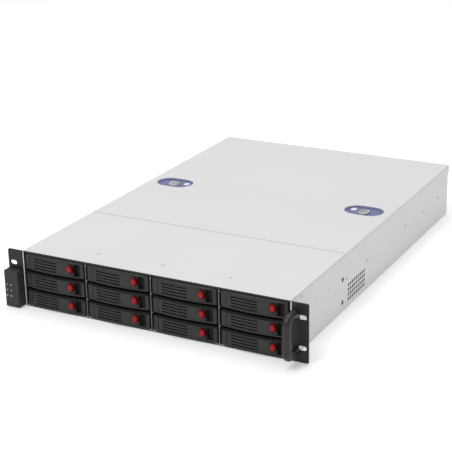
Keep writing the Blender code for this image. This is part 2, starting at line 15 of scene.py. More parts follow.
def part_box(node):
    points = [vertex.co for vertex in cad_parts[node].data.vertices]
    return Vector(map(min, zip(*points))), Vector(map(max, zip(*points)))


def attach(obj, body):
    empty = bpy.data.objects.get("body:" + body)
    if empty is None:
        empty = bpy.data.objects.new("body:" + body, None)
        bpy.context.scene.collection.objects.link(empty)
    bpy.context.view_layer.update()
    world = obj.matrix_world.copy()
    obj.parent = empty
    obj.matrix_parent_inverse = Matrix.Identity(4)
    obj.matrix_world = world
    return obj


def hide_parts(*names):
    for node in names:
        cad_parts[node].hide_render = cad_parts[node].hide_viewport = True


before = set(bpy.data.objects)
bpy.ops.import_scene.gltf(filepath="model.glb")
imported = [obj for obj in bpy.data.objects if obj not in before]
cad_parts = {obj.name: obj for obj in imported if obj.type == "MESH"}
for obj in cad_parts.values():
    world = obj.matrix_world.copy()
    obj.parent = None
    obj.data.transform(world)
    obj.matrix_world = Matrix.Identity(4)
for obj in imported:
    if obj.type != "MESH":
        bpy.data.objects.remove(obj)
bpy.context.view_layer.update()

MM = 0.001
FRONT_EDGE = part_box("front_cover")[0].y
COVER_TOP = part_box("front_cover")[1].z / MM
HALF_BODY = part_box("front_cover")[1].x / MM
BAYS = [(row, column) for row in range(1, 4) for column in range(1, 5)]


def at(x, y, z):
    return Vector((x * MM, y * MM + FRONT_EDGE, z * MM))


def limits(part):
    """A CAD node's (x, y, z) limits in this file's millimetres."""
    low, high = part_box(part)
    return [((a - origin) / MM, (b - origin) / MM) for a, b, origin in zip(low, high, (0, FRONT_EDGE, 0))]


def show(name, data):
    """A new object in the scene."""
    obj = bpy.data.objects.new(name, data)
    bpy.context.scene.collection.objects.link(obj)
    return obj


def evaluated(obj):
    """A new mesh of an object as its modifiers leave it."""
    bpy.context.view_layer.update()
    return bpy.data.meshes.new_from_object(obj.evaluated_get(bpy.context.evaluated_depsgraph_get()))


def modify(obj, name, kind, **settings):
    step = obj.modifiers.new(name, kind)
    for setting, value in settings.items():
        setattr(step, setting, value)


def centre_of(span):
    return (span[0] + span[1]) / 2


def mirrored(side, near, far):
    """A span of X at one side of the case, which is -1 for the left and 1 for the right."""
    return sorted((side * near, side * far))


# ---------------- shapes

TURN = {
    "X": Matrix(((0, 0, 1, 0), (1, 0, 0, 0), (0, 1, 0, 0), (0, 0, 0, 1))),
    "Y": Matrix(((1, 0, 0, 0), (0, 0, -1, 0), (0, 1, 0, 0), (0, 0, 0, 1))),
    "Z": Matrix.Identity(4),
}


def arc(centre, radius, start, end, steps):
    turns = (math.radians(start + (end - start) * i / steps) for i in range(steps + 1))
    return [(centre[0] + radius * math.cos(t), centre[1] + radius * math.sin(t)) for t in turns]


def quarter_turn(steps):
    return [math.pi / 2 * i / steps for i in range(steps + 1)]


def rounded_rectangle(u, v, radius, steps=4):
    inner_u, inner_v = (u[0] + radius, u[1] - radius), (v[0] + radius, v[1] - radius)
    corners = ((1, 0), (1, 1), (0, 1), (0, 0))
    return [point for turn, (a, b) in enumerate(corners)
            for point in arc((inner_u[a], inner_v[b]), radius, 90 * turn - 90, 90 * turn, steps)]


def oval(centre, half, sides):
    turns = (2 * math.pi * i / sides for i in range(sides))
    return [(centre[0] + half[0] * math.cos(t), centre[1] + half[1] * math.sin(t)) for t in turns]


def stadium(centre, size, steps):
    radius = size[1] / 2
    reach = size[0] / 2 - radius
    return (arc((centre[0] + reach, centre[1]), radius, -90, 90, steps)
            + arc((centre[0] - reach, centre[1]), radius, 90, 270, steps))


def flat_solid(outlines, axis, span):
    """A bmesh of outlines (the first one's holes are the others) extruded along an axis."""
    curve = bpy.data.curves.new("outline", "CURVE")
    curve.dimensions = "2D"
    curve.fill_mode = "BOTH"
    curve.extrude = (span[1] - span[0]) / 2
    for outline in outlines:
        spline = curve.splines.new("POLY")
        spline.points.add(len(outline) - 1)
        for point, (u, v) in zip(spline.points, outline):
            point.co = (u, v, 0, 1)
        spline.use_cyclic_u = True
    flat = show("outline", curve)
    mesh = evaluated(flat)
    bpy.data.objects.remove(flat)
    bpy.data.curves.remove(curve)
    middle = Vector((0, 0, 0))
    middle["XYZ".index(axis)] = centre_of(span)
    mesh.transform(Matrix.Translation(middle) @ TURN[axis])
    part = bmesh.new()
    part.from_mesh(mesh)
    bpy.data.meshes.remove(mesh)
    bmesh.ops.remove_doubles(part, verts=part.verts, dist=0.002)
    bmesh.ops.recalc_face_normals(part, faces=part.faces)
    bmesh.ops.dissolve_limit(part, angle_limit=math.radians(1), verts=part.verts, edges=part.edges)
    return part


class Shape:
    """Solids gathered in one mesh. Every method adds one solid, with its sharp edges rounded by edge."""

    def __init__(self):
        self.bm = bmesh.new()

    def take(self, part, edge=0.0, segments=2, steepest=35):
        if edge:
            sharp = [e for e in part.edges
                     if e.is_manifold and e.calc_face_angle(0) > math.radians(steepest)]
            bmesh.ops.bevel(part, geom=sharp, offset=edge, segments=segments, profile=0.5, affect="EDGES",
                            clamp_overlap=True)
        mesh = bpy.data.meshes.new("part")
        part.to_mesh(mesh)
        part.free()
        self.bm.from_mesh(mesh)
        bpy.data.meshes.remove(mesh)
        return self

    def block(self, x, y, z, edge=0.0, segments=2, turn=Matrix.Identity(4)):
        part = bmesh.new()
        centre = Matrix.Translation([centre_of(span) for span in (x, y, z)])
        scale = Matrix.Diagonal((x[1] - x[0], y[1] - y[0], z[1] - z[0], 1))
        bmesh.ops.create_cube(part, size=1, matrix=centre @ turn @ scale)
        return self.take(part, edge, segments)

    def rod(self, axis, centre, radius, span, sides=24, edge=0.0):
        part = bmesh.new()
        middle = Vector(centre)
        middle["XYZ".index(axis)] = centre_of(span)
        bmesh.ops.create_cone(part, cap_ends=True, segments=sides, radius1=radius, radius2=radius,
                              depth=span[1] - span[0], matrix=Matrix.Translation(middle) @ TURN[axis])
        return self.take(part, edge, steepest=50)

    def prism(self, outlines, axis, span, edge=0.0, segments=2):
        return self.take(flat_solid(outlines, axis, span), edge, segments)

    def turned(self, axis, centre, profile, sides=32):
        """A (radius, height) profile turned round an axis; it starts and ends on that axis, or is closed."""
        part = bmesh.new()
        points = [part.verts.new((radius, 0, height)) for radius, height in profile]
        edges = [part.edges.new(pair) for pair in zip(points, points[1:])]
        if profile[0][0] > 0 and profile[-1][0] > 0:
            edges.append(part.edges.new((points[-1], points[0])))
        bmesh.ops.spin(part, geom=points + edges, cent=(0, 0, 0), axis=(0, 0, 1), angle=2 * math.pi,
                       steps=sides, use_merge=True)
        bmesh.ops.remove_doubles(part, verts=part.verts, dist=0.0005)
        bmesh.ops.recalc_face_normals(part, faces=part.faces)
        bmesh.ops.transform(part, verts=part.verts, matrix=Matrix.Translation(centre) @ TURN[axis])
        return self.take(part)

    def ring(self, axis, centre, radius, thickness, sides):
        """A wire hoop."""
        profile = [(radius + u, v) for u, v in arc((0, 0), thickness / 2, 0, 315, 7)]
        return self.turned(axis, centre, profile, sides)

    def add(self, other, matrix):
        part = other.bm.copy()
        bmesh.ops.transform(part, verts=part.verts, matrix=matrix)
        return self.take(part)

    def take_mesh(self, mesh):
        """Adds a finished mesh, back in millimetres."""
        mesh.transform(Matrix.Scale(1 / MM, 4))
        self.bm.from_mesh(mesh)
        bpy.data.meshes.remove(mesh)
        return self

    def object(self):
        mesh = bpy.data.meshes.new("shape")
        self.bm.to_mesh(mesh)
        return show("shape", mesh)

    def mesh(self, name, cuts=(), edge=0.0, segments=2, smooth_below=50):
        """The finished mesh in metres: cut by other shapes, then with the new edges rounded."""
        body = self.object()
        temporary = [body]
        for cut in cuts:
            temporary.append(cut.object())
            modify(body, "cut", "BOOLEAN", operation="DIFFERENCE", solver="EXACT", object=temporary[-1])
        if edge:
            soften(body, edge, segments)
        mesh = evaluated(body)
        for obj in temporary:
            bpy.data.objects.remove(obj)
        mesh.name = name
        mesh.transform(Matrix.Scale(MM, 4))
        return weighted(mesh, smooth_below)


def soften(obj, width, segments=2):
    modify(obj, "rounded_edges", "BEVEL", width=width, segments=segments, limit_method="ANGLE",
           angle_limit=math.radians(40), use_clamp_overlap=True)


def weighted(mesh, smooth_below):
    """Smooth shading whose flat faces stay flat."""
    mesh.shade_smooth()
    mesh.set_sharp_from_angle(angle=math.radians(smooth_below))
    obj = show(mesh.name, mesh)
    modify(obj, "normals", "WEIGHTED_NORMAL", keep_sharp=True)
    result = evaluated(obj)
    name = mesh.name
    bpy.data.objects.remove(obj)
    bpy.data.meshes.remove(mesh)
    result.name = name
    return result


# ---------------- finishes

SLOTS = {}
GLOSS_SPREAD = 0.05
RELIEF_DEPTH = 0.0002
COAT_ROUGHNESS = 0.15


def node(made, kind, **values):
    """A new shader node in a material. An input's name has _ for its space."""
    new = made.node_tree.nodes.new("ShaderNode" + kind)
    for name, value in values.items():
        new.inputs[name.replace("_", " ")].default_value = value
    return new


def set_ramp(ramp, *stops):
    for element, (position, colour) in zip(ramp.color_ramp.elements, stops):
        element.position = position
        element.color = (*colour, 1.0)


def finish(name, slot, colour, roughness, metallic=0.0, shade=0.06, mottle=30.0, grain=900.0, relief=0.0,
           coat=0.0, stretch=(1, 1, 1), cells=False, specular=0.5):
    """A procedural finish: mottled colour and gloss with a fine relief, fixed to the object's own axes."""
    made = bpy.data.materials.new(name)
    made.use_nodes = True
    link = made.node_tree.links.new
    shader = made.node_tree.nodes["Principled BSDF"]
    mapping = node(made, "Mapping", Scale=stretch)
    link(node(made, "TexCoord").outputs["Object"], mapping.inputs["Vector"])

    if cells:
        pattern = node(made, "TexVoronoi", Scale=mottle)
        value = pattern.outputs["Color"]
    else:
        pattern = node(made, "TexNoise", Scale=mottle, Detail=5)
        value = pattern.outputs["Fac"]
    link(mapping.outputs["Vector"], pattern.inputs["Vector"])

    ramp = node(made, "ValToRGB")
    dark, light = ([min(1.0, c * factor) for c in colour] for factor in (1 - shade, 1 + shade))
    set_ramp(ramp, (0.25, dark), (0.75, light))
    link(value, ramp.inputs["Fac"])
    link(ramp.outputs["Color"], shader.inputs["Base Color"])

    gloss = node(made, "MapRange", To_Min=max(0.05, roughness - GLOSS_SPREAD),
                 To_Max=min(1.0, roughness + GLOSS_SPREAD))
    link(value, gloss.inputs["Value"])
    link(gloss.outputs["Result"], shader.inputs["Roughness"])

    if relief:
        fine = node(made, "TexNoise", Scale=grain, Detail=3)
        link(mapping.outputs["Vector"], fine.inputs["Vector"])
        bump = node(made, "Bump", Strength=relief, Distance=RELIEF_DEPTH)
        link(fine.outputs["Fac"], bump.inputs["Height"])
        link(bump.outputs["Normal"], shader.inputs["Normal"])
    for setting, amount in (("Metallic", metallic), ("Coat Weight", coat), ("Coat Roughness", COAT_ROUGHNESS),
                            ("Specular IOR Level", specular)):
        shader.inputs[setting].default_value = amount
    SLOTS[name] = slot
    return made


def darker_rim(made, half, colour, rim_shade_colour):
    """Recolours a finish from its middle to a darker oval rim: painted shade at the rim of a translucent
    moulding over a dark hole.
    """
    link = made.node_tree.links.new
    mapping = node(made, "Mapping", Scale=[1 / (MM * h) if h else 0.0 for h in half])
    length = node(made, "VectorMath")
    length.operation = "LENGTH"
    ramp = node(made, "ValToRGB")
    set_ramp(ramp, (0.4, colour), (0.93, rim_shade_colour))
    link(node(made, "TexCoord").outputs["Object"], mapping.inputs["Vector"])
    link(mapping.outputs["Vector"], length.inputs[0])
    link(length.outputs["Value"], ramp.inputs["Fac"])
    link(ramp.outputs["Color"], made.node_tree.nodes["Principled BSDF"].inputs["Base Color"])


PAINT = finish("light_paint", "steel_paint", (0.66, 0.66, 0.66), 0.5, shade=0.015, mottle=6, relief=0.05)
ZINC = finish("zinc_plate", "bare_steel", (0.50, 0.51, 0.52), 0.38, metallic=0.9, shade=0.12, mottle=90,
              cells=True, relief=0.03)
CAGE = finish("cage_steel", "bare_steel", (0.09, 0.09, 0.09), 0.5, metallic=0.5, shade=0.1, mottle=60)
BLACK = finish("black_moulding", "black_plastic", (0.029, 0.029, 0.028), 0.6, shade=0.08, mottle=50,
               grain=2400, relief=0.25, specular=0.3)
POWDER = finish("black_powder_coat", "black_metal", (0.015, 0.015, 0.015), 0.5, shade=0.08, mottle=40,
                grain=1300, relief=0.2, specular=0.32)
ENAMEL = finish("black_enamel", "black_metal", (0.014, 0.014, 0.015), 0.4, shade=0.08, mottle=40,
                grain=1300, relief=0.1, specular=0.4)
RED = finish("red_moulding", "red_plastic", (0.36, 0.011, 0.012), 0.42, relief=0.03, specular=0.15)
BLUE = finish("blue_moulding", "blue_plastic", (0.135, 0.155, 0.30), 0.42, mottle=60, relief=0.08)
GREY = finish("satin_grey", "grey_metal", (0.37, 0.38, 0.37), 0.35, metallic=0.3, shade=0.05, mottle=80,
              relief=0.05)
WHITE = finish("light_moulding", "light_plastic", (0.72, 0.73, 0.74), 0.35, shade=0.03, mottle=80,
               relief=0.04)
GREEN_BOARD = finish("solder_mask", "circuit_board", (0.02, 0.13, 0.05), 0.4, shade=0.3, mottle=160,
                     cells=True, relief=0.1, coat=0.2)
CHIP = finish("chip_epoxy", "black_plastic", (0.02, 0.02, 0.022), 0.5, shade=0.1, mottle=120, relief=0.1)
GOLD = finish("gold_contacts", "grey_metal", (0.75, 0.52, 0.20), 0.3, metallic=1.0, mottle=150)
ALUMINIUM = finish("brushed_aluminium", "grey_metal", (0.62, 0.63, 0.64), 0.32, metallic=1.0, mottle=300,
                   stretch=(1, 0.05, 1), relief=0.05)
SOCKET_BLUE = finish("socket_blue", "blue_plastic", (0.02, 0.10, 0.45), 0.4, mottle=90, relief=0.04)
SUPPLY = finish("supply_plate", "supply_case", (0.36, 0.37, 0.38), 0.4, metallic=0.85, shade=0.08, mottle=50,
                relief=0.05)
LAMP = finish("lamp_lens", "light_plastic", (0.34, 0.35, 0.34), 0.2, coat=0.5, mottle=200)
# Real matt black for the fan rotors and contact blocks, and also painted shade: dark patches and sheets where
# shade falls.
SHADOW_BLACK = finish("matt_black_and_painted_shade", "black_plastic", (0.013, 0.013, 0.012), 0.9, mottle=90,
                      relief=0.1, specular=0.2)
# Painted shade: a darker black for the faces inside the bezels' finger recesses.
RECESS_SHADE = finish("recess_painted_shade", "black_plastic", (0.024, 0.024, 0.023), 0.8, mottle=90, relief=0.1,
                specular=0.25)
STRIP = finish("strip_steel", "bare_steel", (0.24, 0.24, 0.24), 0.5, metallic=0.4, shade=0.25, mottle=150)
STUD = finish("dull_rivet", "bare_steel", (0.30, 0.30, 0.30), 0.5, metallic=0.3, shade=0.1, mottle=200)
GREEN_RING = finish("green_ring", "circuit_board", (0.05, 0.40, 0.12), 0.4, mottle=90)
COPPER = finish("copper_pipe", "grey_metal", (0.60, 0.26, 0.13), 0.3, metallic=1.0, mottle=90)
CAP = finish("button_cap", "light_plastic", (0.30, 0.31, 0.31), 0.35, shade=0.04, mottle=120)


def piece(name, solid, look, body="chassis", place=(0, 0, 0), replaces=()):
    """Shows a mesh, or a Shape as it stands, on its body."""
    mesh = solid.mesh(name) if isinstance(solid, Shape) else solid
    if not mesh.materials:
        mesh.materials.append(look)
    obj = show(name, mesh)
    obj.location = at(*place)
    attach(obj, body)
    SLOTS[mesh.materials[0].name]
    if replaces:
        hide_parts(*replaces)


def dress(part, look, edge=0.0):
    """Gives a CAD node its finish, and rounds its edges without touching its mesh."""
    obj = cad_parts[part]
    for slot in obj.material_slots:
        slot.material = look
    if edge:
        modify(obj, "weld", "WELD", merge_threshold=0.000005)
        modify(obj, "flat_faces", "DECIMATE", decimate_type="DISSOLVE", angle_limit=math.radians(1))
        soften(obj, edge * MM)
        modify(obj, "normals", "WEIGHTED_NORMAL", keep_sharp=True)


# ---------------- drive bays

BEZEL_HALF = 50.3
BEZEL_Z = (-12.4, 11.9)
BEZEL_BACK = 14.0
BOW = 4.2
CORNER = 1.2
BROW = 2.7
POCKET_X = (-42.1, 45.2)
POCKET_Z = (-10.2, 8.8)
POCKET_BACK = 2.6
RECESS_X = 31.0
RECESS_BACK = 5.4
TRAY_HALF = 51.9
TRAY_SHEET = 0.9
TRAY_BOTTOM = -13.4
TRAY_TOP = 11.0
TRAY_END = 160.0
LEVER_X = (-41.4, 35.5)
LEVER_Z = (-9.9, 8.5)
LEVER_BACK = 2.2
VENT_X = (-34.5, 6.4)
VENT_ROWS = [5.6 - 4.5 * i for i in range(4)]
VENT_HEIGHT = 1.9
VENT_RIBS = (-23.0, -10.5)
PIVOT = (-39.7, 0.3, 0.0)
BUTTON = (29.4, 0.0, 0.9)
BUTTON_HALF = (5.2, 0.0, 6.7)
BUTTON_FRONT = -7.0
BUTTON_BACK = 0.6
DOME = 2.9
BEHIND_LEVER = ((-36.0, 9.0), (1.5, 20.0), (-9.4, 7.8))


def bow(x):
    return -BOW * (1 - (x / BEZEL_HALF) ** 2)


def bowed(start, end, steps):
    return [(x, bow(x)) for x in (start + (end - start) * i / steps for i in range(steps + 1))]


def bezel_mesh(painted_shade_brow):
    """A bowed moulding with a rounded brow, a pocket for the lever, and a deeper recess for a finger."""
    inner = BEZEL_HALF - CORNER
    front = (arc((-inner, bow(inner) + CORNER), CORNER, 180, 262, 4) + bowed(-inner, inner, 28)[1:-1]
             + arc((inner, bow(inner) + CORNER), CORNER, -82, 0, 4))
    part = flat_solid([front + [(BEZEL_HALF, BEZEL_BACK), (-BEZEL_HALF, BEZEL_BACK)]], "Z", BEZEL_Z)

    def rim(level):
        """The front edges along the moulding's top or bottom."""
        return [edge for edge in part.edges if edge.is_manifold and edge.calc_face_angle(0) > 1.2
                and all(abs(v.co.z - level) < 0.01 and v.co.y < 3 for v in edge.verts)]

    bmesh.ops.bevel(part, geom=rim(BEZEL_Z[1]), offset=BROW, segments=4, profile=0.42, affect="EDGES")
    bmesh.ops.bevel(part, geom=rim(BEZEL_Z[0]), offset=0.8, segments=3, profile=0.5, affect="EDGES")
    # On the lower rows the brow's upward faces take slot 1: painted shade cast by the bezel above.
    for face in part.faces:
        on_brow = face.normal.z > 0.3 and face.calc_center_median().z > BEZEL_Z[1] - BROW
        face.material_index = int(painted_shade_brow and on_brow)
    body = Shape().take(part)
    cuts = [Shape().prism([rounded_rectangle(x, z, 0.9)], "Y", y) for x, y, z in (
        (POCKET_X, (-9, POCKET_BACK), POCKET_Z),
        ((RECESS_X, POCKET_X[1] - 0.05), (-9.1, RECESS_BACK), (POCKET_Z[0] + 0.05, POCKET_Z[1] - 0.05)),
        BEHIND_LEVER)]
    bezel = body.mesh("bezel", cuts, edge=0.22)
    for look in (BLACK, SHADOW_BLACK, RECESS_SHADE):
        bezel.materials.append(look)
    # Faces inside the finger recess take slot 2, painted shade in the recess.
    for face in bezel.polygons:
        x, y, z = face.center / MM
        if POCKET_BACK + 0.3 < y < RECESS_BACK + 0.1 and RECESS_X < x < POCKET_X[1] and z < POCKET_Z[1]:
            face.material_index = 2
    return bezel


def tray_mesh():
    """The sheet tray behind a bezel: a floor with windows, folded sides with slots, and a rear stop."""
    start = BEZEL_BACK - 1
    tray = Shape()
    windows = [rounded_rectangle(x, y, 4.0) for x in ((-40, -4), (4, 40)) for y in ((24, 80), (90, 146))]
    holes = [oval((x, y), (1.8, 1.8), 12) for x in (-45.5, 45.5) for y in (43, 85, 130)]
    tray.prism([rounded_rectangle((-TRAY_HALF, TRAY_HALF), (start, TRAY_END), 1.5), *windows, *holes], "Z",
               (TRAY_BOTTOM, TRAY_BOTTOM + 0.7))
    side = rounded_rectangle((start, TRAY_END), (TRAY_BOTTOM + 0.05, TRAY_TOP), 1.8)
    screw_slots = [stadium((y, -6.5), (7, 3.6), 5) for y in (30, 58, 116, 146)]
    air = [stadium((y, 2.5), (20, 6.0), 5) for y in (38, 65, 92, 119, 146)]
    for x in (-TRAY_HALF, TRAY_HALF - TRAY_SHEET):
        tray.prism([side, *screw_slots, *air], "X", (x, x + TRAY_SHEET), edge=0.15, segments=1)
    tray.block((-TRAY_HALF + 0.1, TRAY_HALF - 0.1), (BEZEL_BACK - 0.3, BEZEL_BACK + 0.6),
               (TRAY_BOTTOM + 0.1, TRAY_TOP), 0.2)
    tray.block((-40, 40), (TRAY_END - 0.9, TRAY_END), (TRAY_BOTTOM + 0.1, -11.2), 0.2)
    for x in (-47.5, 47.5):
        for z in (-8.0, 7.5):
            tray.rod("Y", (x, 0, z), 2.2, (BEZEL_BACK + 0.5, BEZEL_BACK + 1.6), 16, 0.5)
    return tray.mesh("tray")


def lever_mesh():
    """The slotted lever, from its rounded hinge end to the end that a finger pulls."""
    hinge = arc((LEVER_X[0] + 1.9, 0.3), 1.9, 90, 190, 6)
    front = bowed(LEVER_X[0], LEVER_X[1] - 1.0, 24)
    tip = arc((LEVER_X[1] - 1.2, bow(LEVER_X[1]) + 1.35), 1.2, -75, 0, 4)
    outline = front + tip + [(LEVER_X[1], LEVER_BACK)] + hinge
    body = Shape().prism([outline], "Z", LEVER_Z, edge=0.45, segments=3)
    holes = Shape()
    for z in VENT_ROWS:
        slot = rounded_rectangle(VENT_X, (z - VENT_HEIGHT / 2, z + VENT_HEIGHT / 2), 0.6)
        holes.prism([slot], "Y", (-9, 9))
    button_hole = oval((BUTTON[0], BUTTON[2]), (BUTTON_HALF[0] + 0.35, BUTTON_HALF[2] + 0.35), 40)
    holes.prism([button_hole], "Y", (-9, 9))
    slotted = Shape().take_mesh(body.mesh("slotted", [holes], edge=0.25))
    for x in VENT_RIBS:
        slotted.block((x - 0.5, x + 0.5), (bow(x) + 0.9, LEVER_BACK - 0.3),
                      (VENT_ROWS[-1] - 1.4, VENT_ROWS[0] + 1.4), 0.2)
    lever = slotted.mesh("lever")
    for look in (BLACK, SHADOW_BLACK):
        lever.materials.append(look)
    # The faces at the end that a finger pulls take slot 1: painted shade beside the recess.
    for face in lever.polygons:
        face.material_index = int(face.center.x > (LEVER_X[1] - 1.1) * MM)
    return lever


def button_mesh():
    """An oval dome with a soft shoulder."""
    shoulder = BUTTON_FRONT + DOME
    dome = [(math.cos(t), shoulder - DOME * math.sin(t)) for t in quarter_turn(9)]
    profile = [(0.0, -BUTTON_BACK), (0.92, -BUTTON_BACK), (1.0, -BUTTON_BACK + 0.4)]
    profile += [(radius, -y) for radius, y in dome[:-1]] + [(0.0, -BUTTON_FRONT)]
    button = Shape().turned("Y", (0, 0, 0), profile, 40)
    bmesh.ops.scale(button.bm, vec=(BUTTON_HALF[0], 1, BUTTON_HALF[2]), verts=button.bm.verts)
    return button.mesh("release_button", smooth_below=60)


def drive_bays():
    # The red buttons darken towards their rims: painted shade.
    darker_rim(RED, BUTTON_HALF, (0.37, 0.010, 0.011), (0.06, 0.002, 0.002))
    top_bezel, bezel, tray = bezel_mesh(False), bezel_mesh(True), tray_mesh()
    lever, button = lever_mesh(), button_mesh()
    lever.transform(Matrix.Translation(-Vector(PIVOT) * MM))
    for row, column in BAYS:
        tag = f"r{row}c{column}"
        carrier = f"carrier_{tag}"
        x, _, z = limits(carrier)
        centre = Vector((centre_of(x), 0, z[0] - TRAY_BOTTOM))
        piece(f"bezel_{tag}", top_bezel if row == 1 else bezel, BLACK, carrier, centre, [carrier])
        piece(f"tray_{tag}", tray, ZINC, carrier, centre)
        piece(f"pull_lever_{tag}", lever, BLACK, f"lever_{tag}", centre + Vector(PIVOT), [f"lever_{tag}"])
        piece(f"release_{tag}", button, RED, f"button_{tag}", centre + Vector(BUTTON), [f"button_{tag}"])


def front_trim():
    """The black edging round the bays, and the small bright tabs beside the dividers."""
    top, bottom, shade_lining = (84.5, COVER_TOP - 0.15), (0.05, 1.25), (HALF_BODY - 1.5, HALF_BODY - 1.25)
    trim = Shape()
    trim.block((-HALF_BODY + 0.1, HALF_BODY - 0.1), (-0.7, -0.05), top, 0.2)
    trim.block((-HALF_BODY + 0.1, HALF_BODY - 0.1), (-0.4, -0.05), bottom, 0.1)
    # On each side, a thin black sheet just inside the wall for the first 13 mm is painted shade over the
    # wall's inner face beside the bays. A black strip also covers the inner part of the wall's front edge.
    for side in (-1, 1):
        for x, y in ((shade_lining, (-0.3, 13.0)), ((shade_lining[0], HALF_BODY - 0.75), (-0.4, -0.05))):
            trim.block(mirrored(side, *x), y, (bottom[1] - 0.2, top[0] + 0.2), 0.05, 1)
    piece("front_edging", trim, BLACK)

    strips, tabs = Shape(), Shape()
    pitch = limits("carrier_r1c2")[0][0] - limits("carrier_r1c1")[0][0]
    for step in (-1, 0, 1):
        middle = step * pitch
        strips.block((middle - 0.32, middle + 0.32), (-0.15, 0.15), (1.4, top[0] - 0.2), 0.12)
        for z in (81.0, 57.6, 29.3):
            tabs.block((middle + 0.3, middle + 1.5), (-0.1, 1.2), (z - 0.9, z + 0.9), 0.3)
    piece("divider_strips", strips, STRIP)
    piece("divider_tabs", tabs, STUD)


# ---------------- ears, handle and control box

def handle():
    """A grip of rounded section, and the screw washers behind the ear."""
    x, y, z = limits("handle")
    bar, arm, bend, inside, roundness = 14.0, 12.0, 15.0, 6.0, 4.6
    front, foot = y
    low, high = z
    back = front + bar
    root = foot + 6.0
    outline = ([(root, low)] + arc((front + bend, low + bend), bend, 270, 180, 12)
               + arc((front + bend, high - bend), bend, 180, 90, 12)
               + [(root, high), (root, high - arm)]
               + arc((back + inside, high - arm - inside), inside, 90, 180, 8)
               + arc((back + inside, low + arm + inside), inside, 180, 270, 8) + [(root, low + arm)])
    grip = Shape().prism([outline], "X", x, edge=roundness, segments=6)
    behind_ear = Shape().block((x[0] - 5, x[1] + 5), (foot, root + 5), (low - 5, high + 5))
    piece("grip", grip.mesh("grip", [behind_ear]), ENAMEL, replaces=["handle"])
    screws = Shape()
    ear_back = limits("right_ear")[1][0] + 2.5
    for z_screw in (low + arm / 2, high - arm / 2):
        screws.rod("Y", (centre_of(x) + 0.5, 0, z_screw), 3.4, (ear_back - 0.2, ear_back + 1.6), 20, 0.5)
    piece("grip_screws", screws, ZINC)


LAMP_Z = (35.6, 26.9)
LAMP_RADIUS = 1.2
CAP_RADIUS = 1.5


def control_box():
    x, y, z = limits("control_box")
    buttons = {name: limits(name) for name in ("power_button", "reset_button")}
    places = [(centre_of(box_x), centre_of(box_z)) for box_x, _, box_z in buttons.values()]
    lamps = [(px, lamp_z) for px, _ in places for lamp_z in LAMP_Z]
    box = Shape().block(x, y, z, 1.3, 4)
    cutter = Shape()
    for centres, radius in ((places, 1.75), (lamps, 1.35)):
        for px, pz in centres:
            cutter.rod("Y", (px, 0, pz), radius, (y[0] - 5, y[0] + 6), 24)
    piece("panel_box", box.mesh("panel_box", [cutter], edge=0.15), BLACK, replaces=["control_box"])
    lenses = Shape()
    for px, pz in lamps:
        dome = [(LAMP_RADIUS * math.cos(t), 0.5 * math.sin(t)) for t in quarter_turn(5)[:-1]]
        lenses.turned("Y", (px, y[0], pz), [(0, -4.0), (LAMP_RADIUS, -4.0), *dome, (0, 0.5)], 20)
    piece("panel_lamps", lenses, LAMP)
    for (name, (_, box_y, _)), (px, pz) in zip(buttons.items(), places):
        depth = box_y[1] - box_y[0]
        cap = Shape().turned("Y", (0, 0, 0), [
            (0, -depth), (1.4, -depth), (CAP_RADIUS, -depth + 0.3), (CAP_RADIUS, -0.45), (1.3, -0.12),
            (0.9, 0.0), (0, -0.12)], 24)
        piece(f"panel_{name}", cap.mesh(name), CAP, name, (px, box_y[0], pz), [name])


# ---------------- the case

BARE_RIVETS = [(35, 79.4), (191, 46.4), (271, 45.5), (437, 45.5), (517, 44.5), (593, 45.5)]
PAINTED_RIVETS = [(94, 79.7), (78, 55.0), (128, 55.0)]
BARE_SCREWS = [(-107, 36), (0, 36), (107, 36)]
PAINTED_SCREWS = [(-108, 140), (0, 140), (107, 140)]
# Where the black sheets inside the case, behind the side vents, stand.
SHADE_SHEET_X = (205.0, 206.0)
SHADE_SHEET_Y = (206.0, 268.0)
SHADE_SHEET_Z = (3.0, 74.0)


